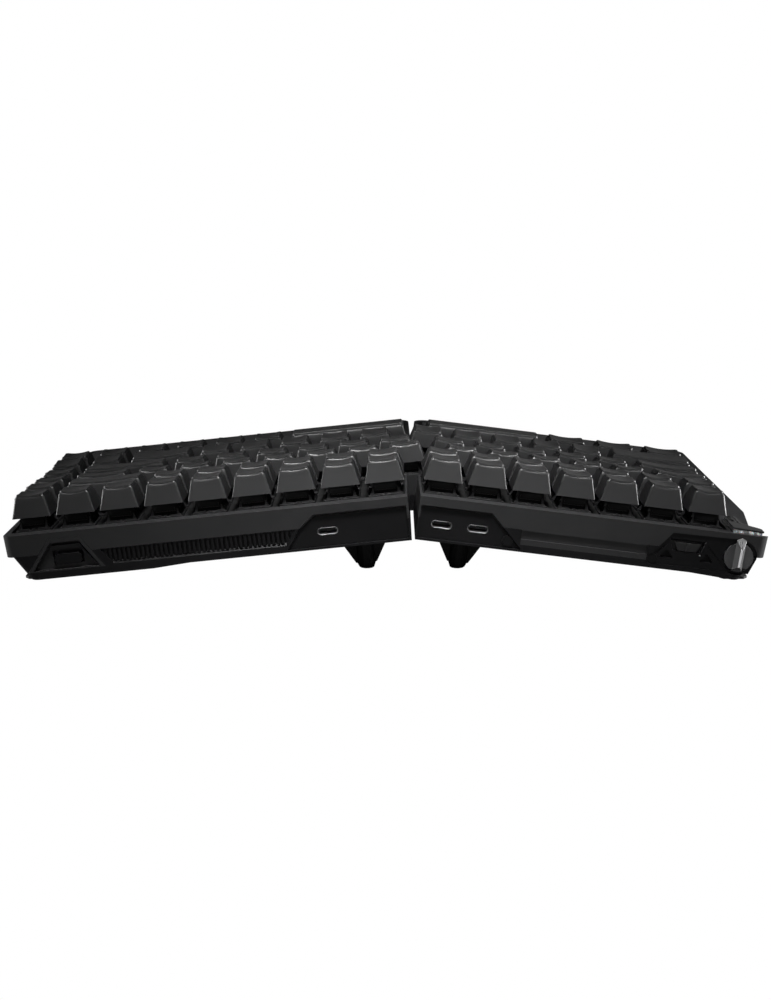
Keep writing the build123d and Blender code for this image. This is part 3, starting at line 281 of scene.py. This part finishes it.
def matte_shaded_tops(material, rough, color):
    """Level faces of a plastic, such as the touched tops of keys, are duller than its sides; their darker
    colour is painted shade.
    """
    nodes, links = material.node_tree.nodes, material.node_tree.links
    shader = nodes["Principled BSDF"]
    split = nodes.new("ShaderNodeSeparateXYZ")
    links.new(nodes.new("ShaderNodeNewGeometry").outputs["Normal"], split.inputs["Vector"])
    level = ramp(nodes, links, split.outputs["Z"], 0.0, 1.0, LEVEL_FROM, LEVEL_TO)
    # On level faces the roughness is mixed towards rough, and the base colour towards color, which is painted
    # shade
    for key, kind, value in (("Roughness", "FLOAT", rough), ("Base Color", "RGBA", opaque(color))):
        usual = shader.inputs[key].links[0].from_socket
        links.new(mixed(nodes, links, kind, level, usual, value), shader.inputs[key])


# Metals
BRUSH_SCALE = 400.0
BRUSH_DETAIL = 3.0
BRUSH_STRETCH = (1, 40, 1)
BRUSH_SWING = 0.08
BRUSH_DEPTH = 0.004


def metal(name, color, rough):
    """Metal with fine lines from drawing or turning."""
    material, nodes, links, shader = new_material(name)
    brush = noise(nodes, links, BRUSH_SCALE, BRUSH_DETAIL, BRUSH_STRETCH)
    shader.inputs["Base Color"].default_value = opaque(color)
    shader.inputs["Metallic"].default_value = 1.0
    links.new(ramp(nodes, links, brush, rough - BRUSH_SWING, rough + BRUSH_SWING), shader.inputs["Roughness"])
    links.new(bump(nodes, links, brush, BRUSH_DEPTH), shader.inputs["Normal"])
    return material


# Diffusers of the small lights, which are off
SPECKLE_SCALE = 700.0
SPECKLE_DETAIL = 2.0
SPECKLE_SHADE = 0.2
SPECKLE_EDGE = (0.45, 0.6)
DIFFUSER_ROUGH = (0.3, 0.5)
SCATTER_SHARE = 0.2
SCATTER_DEPTH = 1.0


def frosted(name, color):
    """Milky plastic with dark speckles."""
    material, nodes, links, shader = new_material(name)
    cloud = noise(nodes, links, SPECKLE_SCALE, SPECKLE_DETAIL)
    pale = ramp(nodes, links, cloud, 0.0, 1.0, *SPECKLE_EDGE)
    tint = mixed(nodes, links, "RGBA", pale, opaque(color, SPECKLE_SHADE), opaque(color))
    links.new(tint, shader.inputs["Base Color"])
    links.new(ramp(nodes, links, cloud, *DIFFUSER_ROUGH), shader.inputs["Roughness"])
    shader.inputs["Subsurface Weight"].default_value = SCATTER_SHARE
    shader.inputs["Subsurface Scale"].default_value = SCATTER_DEPTH * MM
    return material


# Materials of the pieces
FRAME_PLASTIC = plastic("frame_plastic", (0.017, 0.017, 0.0175), rough=0.4, specular=0.25)
BASE_PLASTIC = plastic("base_plastic", (0.006, 0.006, 0.0064), rough=0.4, specular=0.1)
KEY_PLASTIC = plastic("key_plastic", (0.009, 0.009, 0.0093), rough=0.42, grain=4200.0, specular=0.4)
PANEL_PLASTIC = plastic("panel_plastic", (0.006, 0.006, 0.0064), rough=0.36, specular=0.1)
HOUSING_PLASTIC = plastic("housing_plastic", (0.002, 0.002, 0.0021), rough=0.45, depth=0.004, specular=0.1)
FLANGE_PLASTIC = plastic("flange_plastic", (0.008, 0.008, 0.0083), rough=0.6, depth=0.004, specular=0.12)
PLATE_PAINT = plastic("plate_paint", (0.004, 0.004, 0.004), rough=0.55, specular=0.25)
BOARD_COAT = plastic("board_coat", (0.008, 0.009, 0.01), rough=0.35, grain=900.0)
FOOT_PLASTIC = plastic("foot_plastic", (0.005, 0.005, 0.0052), rough=0.5, specular=0.08)
RUBBER = plastic("rubber", (0.012, 0.012, 0.012), rough=0.7, grain=2000.0, specular=0.3)
WHEEL_RUBBER = plastic("wheel_rubber", (0.02, 0.02, 0.02), rough=0.55, grain=2000.0)
DIAL_PLASTIC = plastic("dial_plastic", (0.045, 0.045, 0.046), rough=0.4, depth=0.004)
# Pale paint of the painted highlight on the crest of the dial's grip
CREST_HIGHLIGHT_PAINT = plastic("crest_highlight_paint", (0.55, 0.55, 0.56), rough=0.5, grain=1500.0)
CUSHION_SKIN = plastic(
    "cushion_skin", (0.026, 0.026, 0.027), rough=0.6, grain=1300.0, depth=0.05, specular=0.35,
)
BATTERY_WRAP = plastic("battery_wrap", (0.02, 0.02, 0.022), rough=0.3, grain=300.0)
PORT_STEEL = metal("port_steel", (0.2, 0.2, 0.205), rough=0.5)
AXLE_STEEL = metal("axle_steel", (0.5, 0.5, 0.5), rough=0.3)
DIFFUSER = frosted("light_diffuser", (0.6, 0.6, 0.62))
# Tops of the keys: duller, and darker in colour as painted shade
matte_shaded_tops(KEY_PLASTIC, rough=0.68, color=(0.003, 0.003, 0.0031))

# Keycaps: heights of the rear and the front edge of each row's top, from the rear row to the front one
CAP_REAR = (10.4, 9.9, 9.3, 8.6, 8.3, 8.4)
CAP_FRONT = (9.8, 9.2, 8.0, 7.8, 9.0, 8.8)
CAP_DEPTH = KEY_PITCH - KEY_GAP
CAP_INSET = 2.45
CAP_TOP_REAR = 6.2
CAP_TOP_FRONT = 5.4
CAP_BASE_RADIUS = 0.55
CAP_TOP_RADIUS = 1.15

# Tops: across the cap the dish is deepest, along it a slight sag; wide keys dish less, bars are crowned
CAP_DISH = 0.9
CAP_SAG = 0.34
WIDE_FROM = 1.9
WIDE_DISH = 0.7
BAR_FROM = 3
BAR_CROWN = 0.8
BAR_INSET = 1.7
TOP_STEPS = (0.8, 0.6, 0.4, 0.2)

# Sides, with steps as shares of the height: how far the skin is drawn in halfway up and at the edge below
SIDE_STEPS = (0.3, 0.6, 0.82)
SIDE_DRAW = 0.1
EDGE_DRAW = 0.06
EDGE_STEP = 0.02

# Round rim between sides and top: how far in from the outline of the top, and how far below it
RIM_STEPS = ((-0.25, 1.0), (-0.19, 0.88), (0.4, 0.17), (0.62, 0.03), (0.85, 0.0))

# Hollow below, and the slider in its middle
CAP_WALL = 1.3
CAP_ROOF = 1.3
HOLLOW_DRAFT = 1.54
HOLLOW_LEDGE = 2.16
HOLLOW_FOOT = 0.35
HOLLOW_RADIUS = 0.6
SLIDER = (6.6, 4.6)
SLIDER_SINK = 1.4
SLIDER_ROUND = 0.35


def rounded_outline(x0, x1, y0, y1, radius, corner_steps=4, across=8, along=3):
    """Points round a rectangle with rounded corners, the same number for every size."""
    points = []
    turns = (
        (x1 - radius, y0 + radius, -90, (x0 + radius, x1 - radius, across, "x", y0)),
        (x1 - radius, y1 - radius, 0, (y0 + radius, y1 - radius, along, "y", x1)),
        (x0 + radius, y1 - radius, 90, (x1 - radius, x0 + radius, across, "x", y1)),
        (x0 + radius, y0 + radius, 180, (y1 - radius, y0 + radius, along, "y", x0)),
    )
    for cx, cy, start, (a, b, count, kind, level) in turns:
        for i in range(1, count):
            value = a + (b - a) * i / count
            points.append((value, level) if kind == "x" else (level, value))
        for i in range(corner_steps + 1):
            angle = math.radians(start + 90 * i / corner_steps)
            points.append((cx + radius * math.cos(angle), cy + radius * math.sin(angle)))
    return points


def side_rings(base, outline, top):
    """Rings up the sides of a cap, from the outline of its base towards that of its top."""
    draws = [(up, SIDE_DRAW * math.sin(math.pi * up)) for up in SIDE_STEPS]
    rings = []
    for up, pull in [(0.0, EDGE_DRAW), (EDGE_STEP, 0.0)] + draws:
        ring = []
        for (bx, by), (tx, ty) in zip(base, outline):
            x = bx + (tx - bx) * up
            y = by + (ty - by) * up
            size = math.hypot(x, y)
            ring.append((x * (1 - pull / size), y * (1 - pull / size), top(tx, ty) * up))
        rings.append(ring)
    return rings


def top_rings(outline, centre_y, top):
    """Rings over the round rim of a cap and across its top."""
    rings = []
    for inward, drop in RIM_STEPS:
        ring = []
        for tx, ty in outline:
            x = tx - math.copysign(min(abs(tx), inward), tx)
            y = ty - math.copysign(min(abs(ty - centre_y), inward), ty - centre_y)
            ring.append((x, y, top(x, y) - drop))
        rings.append(ring)
    for scale in TOP_STEPS:
        points = [(tx * scale, centre_y + (ty - centre_y) * scale) for tx, ty in outline]
        rings.append([(x, y, top(x, y)) for x, y in points])
    return rings


def hollow_rings(width, roof):
    """Rings of the hollow below a cap, from the middle of its roof down to the base."""
    slope = CAP_WALL + HOLLOW_DRAFT
    rings = []
    for wall, z in ((slope + HOLLOW_LEDGE, roof), (slope, roof), (CAP_WALL, HOLLOW_FOOT), (CAP_WALL, 0.0)):
        x, y = width / 2 - wall, CAP_DEPTH / 2 - wall
        rings.append([(px, py, z) for px, py in rounded_outline(-x, x, -y, y, HOLLOW_RADIUS)])
    return rings


@cache
def keycap(row, width_share):
    """Cap with drawn-in sides, rounded rim and dished top, hollow below, with its slider."""
    width = width_share * KEY_PITCH - KEY_GAP
    rear, front = CAP_REAR[row], CAP_FRONT[row]
    is_bar = width_share > BAR_FROM
    inset = BAR_INSET if is_bar else CAP_INSET
    dish = 0 if is_bar else (CAP_DISH if width_share < WIDE_FROM else WIDE_DISH)
    peak = max(rear, front) + BAR_CROWN
    taper = (rear + front) / 2 / peak
    half = width / 2 - inset * taper
    y0 = -CAP_DEPTH / 2 + (CAP_DEPTH / 2 - CAP_TOP_FRONT) * taper
    y1 = CAP_DEPTH / 2 + (CAP_TOP_REAR - CAP_DEPTH / 2) * taper

    def top(x, y):
        along = (y - y0) / (y1 - y0)
        if is_bar:
            return (rear + front) / 2 - BAR_CROWN / 2 + BAR_CROWN * (1 - (2 * along - 1) ** 2)
        level = front + (rear - front) * along
        bow = max(0.0, 1 - (x / half) ** 2)
        sag = max(0.0, 1 - (2 * along - 1) ** 2)
        return level - dish * bow - CAP_SAG * sag

    base = rounded_outline(-width / 2, width / 2, -CAP_DEPTH / 2, CAP_DEPTH / 2, CAP_BASE_RADIUS)
    outline = rounded_outline(-half, half, y0, y1, CAP_TOP_RADIUS)
    roof = min(front, rear) - dish - CAP_ROOF - (BAR_CROWN / 2 if is_bar else 0)
    outside = side_rings(base, outline, top) + top_rings(outline, (y0 + y1) / 2, top)
    x, y = SLIDER[0] / 2, SLIDER[1] / 2
    slider = block(-x, x, -y, y, -SLIDER_SINK, roof, SLIDER_ROUND)
    return join([loft(hollow_rings(width, roof) + outside), slider])


# Layout: place and width of each key in key pitches, the place counted from the split
def run(first, count):
    """Keys one pitch wide, side by side."""
    return [(first + i, 1.0) for i in range(count)]


KEY_ROWS = {
    -1: (
        run(-6.5, 7),
        run(-6.5, 7),
        [(-6.25, 1.5)] + run(-5.0, 5),
        [(-6.125, 1.75)] + run(-4.75, 5),
        run(-4.25, 5),
        [(-6.375, 1.25), (-5.125, 1.25), (-3.875, 1.25)],
    ),
    1: (
        run(0.5, 9),
        run(0.5, 6) + run(8.5, 1),
        run(0.0, 7) + [(7.25, 1.5)] + run(8.5, 1),
        run(0.25, 6) + run(8.5, 1),
        run(0.75, 5) + run(7.5, 2),
        run(3.5, 6),
    ),
}

# Keys that move by themselves: node, row, place and width
WIDE_KEYS = {
    -1: (("left_shift_key", 4, -5.875, 2.25), ("left_space_key", 5, -1.7, 3.1)),
    1: (
        ("right_backspace_key", 1, 7.0, 2.0),
        ("right_enter_key", 3, 6.875, 2.25),
        ("right_shift_key", 4, 6.125, 1.75),
        ("right_space_key", 5, 1.45, 3.1),
    ),
}

key_places = {side: [] for side in TAGS}
for side, tag in TAGS.items():
    for row, keys in enumerate(KEY_ROWS[side]):
        node = f"{tag}_keys_row{row + 1}"
        pieces = [moved(keycap(row, width), key_matrix(side, place, row)) for place, width in keys]
        key_places[side] += [(place, row) for place, width in keys]
        name = f"caps_{tag}_row{row + 1}"
        build(name, join(pieces), KEY_PLASTIC, f"{node}_body", replaces=[node])
    for node, row, place, width in WIDE_KEYS[side]:
        piece = moved(keycap(row, width), key_matrix(side, place, row))
        key_places[side].append((place, row))
        build(f"cap_{node}", piece, KEY_PLASTIC, f"{node}_body", replaces=[node])

# Switch housings: square flange on the plate, its layers as share of its width and height over the plate
FLANGE = 15.6
FLANGE_HEIGHT = 1.0
FLANGE_RADIUS = 0.5
FLANGE_STEPS = 2
FLANGE_LAYERS = ((0.992, 0.0), (1.0, 0.12), (1.0, FLANGE_HEIGHT - 0.15), (0.985, FLANGE_HEIGHT))
FLANGE_TOP = FLANGE_HEIGHT - PLATE_DROP
SEAT = 0.05
SQUARE = ((-0.5, -0.5), (0.5, -0.5), (0.5, 0.5), (-0.5, 0.5))

# Tapered body on the flange, with a sunk panel and a raised field between the posts of each side
BODY_FOOT = (13.9, 13.7)
CROWN = (11.0, 10.4)
CROWN_TOP = 0.1
POST_WIDTH = 1.35
PANEL_DEPTH = 0.9
FIELD_INSET = 0.7
FIELD_RISE = 0.55

# Well in the crown, in which the slider moves with a little play
WELL_RIM = 0.5
WELL_PLAY = 0.12
WELL = [size + WELL_PLAY for size in SLIDER]
WELL_DEPTH = 5.2

# Clip tabs along the front and rear edges of the flange
TAB_SPANS = ((-6.8, -1.95), (-0.62, 0.62), (1.95, 6.8))
TAB_INSET = 0.45
TAB_THICKNESS = 0.7
TAB_RISE = 0.55
TAB_ROUND = 0.1

# Fins that lean on the corners of the body: widths at foot and tip, and how the tip is drawn to the middle,
# sideways to a share of the foot's place and in depth by a lean
FIN_PLACE = (5.7, 6.6)
FIN_FOOT = 1.6
FIN_TIP = 0.36
FIN_DEPTH = 0.9
FIN_LEAN = 0.5
FIN_DRAW = 0.95
FIN_RISE = 2.9
FIN_ROUND = 0.1


def flange_plate():
    half = FLANGE / 2
    outline = rounded_outline(
        -half, half, -half, half, FLANGE_RADIUS,
        corner_steps=FLANGE_STEPS, across=FLANGE_STEPS, along=FLANGE_STEPS,
    )
    return loft([[(x * share, y * share, z - PLATE_DROP) for x, y in outline] for share, z in FLANGE_LAYERS])


def clip_tab(way, x0, x1):
    y = way * (FLANGE / 2 - TAB_INSET)
    deep = TAB_THICKNESS / 2
    return block(x0, x1, y - deep, y + deep, FLANGE_TOP - SEAT, FLANGE_TOP + TAB_RISE, TAB_ROUND)


def corner_fin(way, side):
    x, y = side * FIN_PLACE[0], way * FIN_PLACE[1]
    tip_x, tip_y = x * FIN_DRAW, y - way * FIN_LEAN
    foot = [(x + i * FIN_FOOT, y + j * FIN_DEPTH, FLANGE_TOP - SEAT) for i, j in SQUARE]
    tip = [(tip_x + i * FIN_TIP, tip_y + j * FIN_DEPTH, FLANGE_TOP + FIN_RISE) for i, j in SQUARE]
    return bevelled(loft([foot, tip]), FIN_ROUND)


def switch_flange():
    """Flange round a switch, with its clip tabs and corner fins."""
    pieces = [flange_plate()]
    for way in (-1, 1):
        pieces += [clip_tab(way, x0, x1) for x0, x1 in TAB_SPANS]
        pieces += [corner_fin(way, side) for side in (-1, 1)]
    return join(pieces)


def switch_body():
    """Tapered body of a switch, with recessed sides between its posts and the well in its crown."""
    mesh = bmesh.new()
    corners = []
    for (wide, deep), z in ((BODY_FOOT, FLANGE_TOP - SEAT), (CROWN, CROWN_TOP)):
        corners += [mesh.verts.new((i * wide, j * deep, z)) for i, j in SQUARE]
    mesh.faces.new(corners[3::-1])
    lid = mesh.faces.new(corners[4:])
    sides = []
    for i in range(4):
        j = (i + 1) % 4
        sides.append(mesh.faces.new([corners[i], corners[j], corners[4 + j], corners[4 + i]]))
    bmesh.ops.recalc_face_normals(mesh, faces=mesh.faces)
    for face in sides:
        normal = face.normal.copy()
        bmesh.ops.inset_individual(mesh, faces=[face], thickness=POST_WIDTH, use_even_offset=True)
        bmesh.ops.translate(mesh, verts=face.verts, vec=normal * -PANEL_DEPTH)
        bmesh.ops.inset_individual(mesh, faces=[face], thickness=FIELD_INSET, use_even_offset=True)
        field = bmesh.ops.extrude_discrete_faces(mesh, faces=[face])["faces"][0]
        bmesh.ops.translate(mesh, verts=field.verts, vec=normal * FIELD_RISE)
    bmesh.ops.inset_individual(mesh, faces=[lid], thickness=WELL_RIM)
    mouth = bmesh.ops.extrude_discrete_faces(mesh, faces=[lid])["faces"][0]
    for vert in mouth.verts:
        vert.co.x = math.copysign(WELL[0] / 2, vert.co.x)
        vert.co.y = math.copysign(WELL[1] / 2, vert.co.y)
    bottom = bmesh.ops.extrude_discrete_faces(mesh, faces=[mouth])["faces"][0]
    bmesh.ops.translate(mesh, verts=bottom.verts, vec=(0, 0, -WELL_DEPTH))
    return from_bmesh(mesh)


body, flange = switch_body(), switch_flange()
for side, tag in TAGS.items():
    places = [key_matrix(side, place, row) for place, row in key_places[side]]
    build(f"housings_{tag}", copies(body, places), HOUSING_PLASTIC, f"{tag}_half",
          replaces=[f"{tag}_switch_housings"])
    build(f"flanges_{tag}", copies(flange, places), FLANGE_PLASTIC, f"{tag}_half")

# USB-C sockets
PORT_REACHES = {1: (35.7,), -1: (10.9, 26.5)}
PORT_AXIS = 7.6
PORT_WIDTH = 8.94
PORT_HEIGHT = 3.26
PORT_LENGTH = 7.4
PORT_SHELL = 0.3
PANEL_SINK = 0.9
END_STEPS = 10

# Section of the steel shell from its back round the rolled mouth: growth over the outer outline, and depth
SHELL_SECTION = (
    (-PORT_SHELL, 0.5 - PORT_LENGTH),
    (-PORT_SHELL, -0.25),
    (0.06 - PORT_SHELL, -0.08),
    (-PORT_SHELL / 2, 0),
    (-0.05, -0.06),
    (0, -0.2),
    (0, -PORT_LENGTH),
)

# Tongue and contacts: width, length, thickness and rounding; each starts just in front of the shell's back
TONGUE = (6.7, 5.2, 0.7, 0.12)
TONGUE_START = 0.4
CONTACT = (0.24, 4.4, 0.76, 0.03)
CONTACT_START = 0.6
CONTACT_PITCH = 0.5
CONTACT_COUNT = 10


def stadium(grow, y):
    """Outline of a socket: two half circles joined by straight sides."""
    radius = PORT_HEIGHT / 2 + grow
    straight = (PORT_WIDTH - PORT_HEIGHT) / 2
    ring = []
    for end, start in ((1, -90), (-1, 90)):
        for i in range(END_STEPS + 1):
            angle = math.radians(start + 180 * i / END_STEPS)
            ring.append((end * straight + radius * math.cos(angle), y, radius * math.sin(angle)))
    return ring


def bar(size, start, x=0.0):
    """Bar along the depth of a socket, level with its middle."""
    width, length, thickness, edge = size
    y = start - PORT_LENGTH
    return block(x - width / 2, x + width / 2, y, y + length, -thickness / 2, thickness / 2, edge)


shell = loft([stadium(grow, y) for grow, y in SHELL_SECTION])
tongue = bar(TONGUE, TONGUE_START)
first = -CONTACT_PITCH * (CONTACT_COUNT - 1) / 2
contacts = join([bar(CONTACT, CONTACT_START, first + CONTACT_PITCH * i) for i in range(CONTACT_COUNT)])
for side, tag in TAGS.items():
    node = "right_usb_port" if side > 0 else "left_usb_ports"
    places = [
        half_matrix(side) @ Matrix.Translation((side * reach, REAR - PANEL_SINK, PORT_AXIS))
        for reach in PORT_REACHES[side]
    ]
    build(f"sockets_{tag}", copies(shell, places), PORT_STEEL, f"{tag}_half", replaces=[node])
    build(f"tongues_{tag}", copies(tongue, places), PLATE_PAINT, f"{tag}_half")
    build(f"contacts_{tag}", copies(contacts, places), PORT_STEEL, f"{tag}_half")

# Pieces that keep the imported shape, first those that both halves have: name, material and soft edge's width
HALF_FINISHES = (
    ("top_frame", FRAME_PLASTIC, 0.3),
    ("bottom_case", BASE_PLASTIC, 0.25),
    ("switch_plate", PLATE_PAINT, 0.1),
    ("circuit_board", BOARD_COAT, 0),
    ("stabilizers", HOUSING_PLASTIC, 0.2),
    ("port_panel", PANEL_PLASTIC, 0.15),
    ("tenting_feet", FOOT_PLASTIC, 0.3),
    ("base_pads", RUBBER, 0.3),
    ("wrist_rest", FRAME_PLASTIC, 0.4),
    ("rest_cushion", CUSHION_SKIN, 0.6),
)
SINGLE_FINISHES = (
    ("right_rear_grille", PANEL_PLASTIC, 0.1),
    ("right_receiver_bay", FRAME_PLASTIC, 0.2),
    ("right_receiver", PANEL_PLASTIC, 0.15),
    ("left_mode_plate", PANEL_PLASTIC, 0.15),
    ("left_mode_slider", KEY_PLASTIC, 0.15),
    ("left_status_light", DIFFUSER, 0),
    ("left_rear_dial", DIAL_PLASTIC, 0.12),
    ("left_dial_encoder", BASE_PLASTIC, 0),
    ("left_scroll_wheel", WHEEL_RUBBER, 0.1),
    ("left_wheel_axle", AXLE_STEEL, 0),
    ("left_function_button", KEY_PLASTIC, 0.2),
    ("left_light_strip", DIFFUSER, 0.15),
    ("left_screw_caps", FOOT_PLASTIC, 0.2),
    ("left_battery", BATTERY_WRAP, 0.5),
)
WELD_DISTANCE = 0.002
FLAT_LIMIT = 0.6
SOFT_SHARP_EDGE = 28
SOFT_SMOOTH_LIMIT = 32
BODIES = {node: name for name, nodes in frame["record"]["behaviour"]["bodies"].items() for node in nodes}


def soften(node, material, bevel):
    """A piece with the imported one's shape and softened edges, which stands for it."""
    mesh = bmesh.new()
    mesh.from_mesh(frame["nodes"][node].data)
    bmesh.ops.remove_doubles(mesh, verts=mesh.verts, dist=WELD_DISTANCE * MM)
    bmesh.ops.dissolve_limit(mesh, angle_limit=math.radians(FLAT_LIMIT), verts=mesh.verts, edges=mesh.edges)
    round_edges(mesh, bevel * MM, SOFT_SHARP_EDGE, True)
    piece = from_bmesh(mesh)
    build(f"soft_{node}", piece, material, BODIES[node], SOFT_SMOOTH_LIMIT, replaces=[node])


def dress(node, material, bevel):
    """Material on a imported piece; with a bevel, a softened piece stands for it."""
    if bevel:
        soften(node, material, bevel)
    else:
        frame["nodes"][node].data.materials.clear()
        frame["nodes"][node].data.materials.append(material)


for tag in TAGS.values():
    for name, material, bevel in HALF_FINISHES:
        dress(f"{tag}_{name}", material, bevel)
for node, material, bevel in SINGLE_FINISHES:
    dress(node, material, bevel)

# Pale strip let into the crest of the dial's grip: a painted highlight along the crest's flat facet
DIAL_REACH = 138.7
DIAL_CREST = 3.4
MARK_WIDTH = 1.0
MARK_SPAN = (5.7, 13.7)
MARK_SINK = 0.15
MARK_RISE = 0.04
MARK_ROUND = 0.03

crest = REAR + DIAL_CREST
mark = block(-DIAL_REACH - MARK_WIDTH / 2, -DIAL_REACH + MARK_WIDTH / 2, crest - MARK_SINK, crest + MARK_RISE,
             *MARK_SPAN, MARK_ROUND)
build("dial_crest_highlight", moved(mark, half_matrix(-1)), CREST_HIGHLIGHT_PAINT, "rear_dial_body")

# White round the object, seen by the camera alone; light and reflections meet a dim floor and sky
WHITE = (1, 1, 1, 1)


def white_to_camera(nodes, links, kind, lit, output):
    """White of a node kind for the camera's rays and the lit shader for all others, as a tree's output."""
    white = nodes.new(kind)
    white.inputs["Color"].default_value = WHITE
    path = nodes.new("ShaderNodeLightPath")
    mix = nodes.new("ShaderNodeMixShader")
    links.new(path.outputs["Is Camera Ray"], mix.inputs["Fac"])
    links.new(lit, mix.inputs[1])
    links.new(white.outputs[0], mix.inputs[2])
    links.new(mix.outputs["Shader"], nodes[output].inputs["Surface"])


# Floor, in metres, a hair below the undersides of the feet and pads
FLOOR_SIZE = 8
FLOOR_DROP = 0.0003
FLOOR_GREY = (0.06, 0.06, 0.06)
FLOOR_ROUGH = 0.9


def backdrop():
    material, nodes, links, shader = new_material("backdrop")
    shader.inputs["Base Color"].default_value = opaque(FLOOR_GREY)
    shader.inputs["Roughness"].default_value = FLOOR_ROUGH
    white_to_camera(nodes, links, "ShaderNodeEmission", shader.outputs["BSDF"], "Material Output")
    return material


bpy.ops.mesh.primitive_plane_add(size=FLOOR_SIZE, location=(0, 0, -FLOOR_DROP))
floor = bpy.context.object
floor.name = "floor"
floor.data.materials.append(backdrop())

# Sky: brightness on the ports' side and beyond the wrist rests, and what is added overhead. The edges of
# each change are parts of the direction along Y and Z
SKY_SIDES = (0.01, 0.012)
SKY_SIDES_EDGE = (0.5, -0.7)
SKY_OVERHEAD = (0.0, 0.03)
SKY_OVERHEAD_EDGE = (0.35, 0.95)


def sky():
    world = bpy.data.worlds.new("studio")
    bpy.context.scene.world = world
    world.use_nodes = True
    nodes, links = world.node_tree.nodes, world.node_tree.links
    shade = nodes["Background"]
    shade.inputs["Color"].default_value = WHITE
    split = nodes.new("ShaderNodeSeparateXYZ")
    links.new(nodes.new("ShaderNodeTexCoord").outputs["Generated"], split.inputs["Vector"])
    whole = nodes.new("ShaderNodeMath")
    whole.operation = "ADD"
    sides = ramp(nodes, links, split.outputs["Y"], *SKY_SIDES, *SKY_SIDES_EDGE, "SMOOTHSTEP")
    overhead = ramp(nodes, links, split.outputs["Z"], *SKY_OVERHEAD, *SKY_OVERHEAD_EDGE, "SMOOTHSTEP")
    links.new(sides, whole.inputs[0])
    links.new(overhead, whole.inputs[1])
    links.new(whole.outputs["Value"], shade.inputs["Strength"])
    white_to_camera(nodes, links, "ShaderNodeBackground", shade.outputs["Background"], "World Output")


sky()

# Lamps, in metres and watts: name, place, target, size, power and spread
LAMPS = (
    ("ports_side", (0.0, 0.7, 0.15), (0.0, 0.1, 0.05), (0.24, 0.03), 0.1, 75),
    ("overhead", (0.0, 0.28, 0.72), (0.0, 0.11, 0.05), (0.2, 0.1), 0.54, 28),
    ("wheel_side", (-0.75, 0.05, 0.12), (-0.1, 0.05, 0.03), (0.3, 0.14), 1.8, 60),
    ("bay_side", (0.75, 0.05, 0.12), (0.1, 0.05, 0.03), (0.3, 0.14), 0.9, 60),
    ("dial_side", (-0.55, 0.42, 0.16), (-0.14, 0.09, 0.03), (0.1, 0.2), 0.035, 40),
)


def lamp(name, place, target, size, watts, spread):
    light = bpy.data.lights.new(name, "AREA")
    light.shape = "RECTANGLE"
    light.size, light.size_y = size
    light.energy = watts
    light.spread = math.radians(spread)
    obj = bpy.data.objects.new(name, light)
    obj.location = place
    obj.rotation_euler = (Vector(target) - Vector(place)).to_track_quat("-Z", "Y").to_euler()
    bpy.context.scene.collection.objects.link(obj)


for values in LAMPS:
    lamp(*values)

# Camera: place in metres, and the angle by which it looks down. The focal length is a share of the sensor
CAMERA_PLACE = (0.0000108, 0.74755, 0.22092)
CAMERA_PITCH = math.radians(15.838)
SENSOR = 36
FOCAL_SHARE = 1.5976
CLIP_START = 0.01

camera_data = bpy.data.cameras.new("camera")
camera_data.sensor_width = SENSOR
camera_data.lens = SENSOR * FOCAL_SHARE
camera_data.clip_start = CLIP_START
camera = bpy.data.objects.new("camera", camera_data)
camera.location = CAMERA_PLACE
camera.rotation_euler = (math.pi / 2 - CAMERA_PITCH, 0, math.pi)
bpy.context.scene.collection.objects.link(camera)
bpy.context.scene.camera = camera
bpy.context.scene.view_settings.view_transform = "Standard"
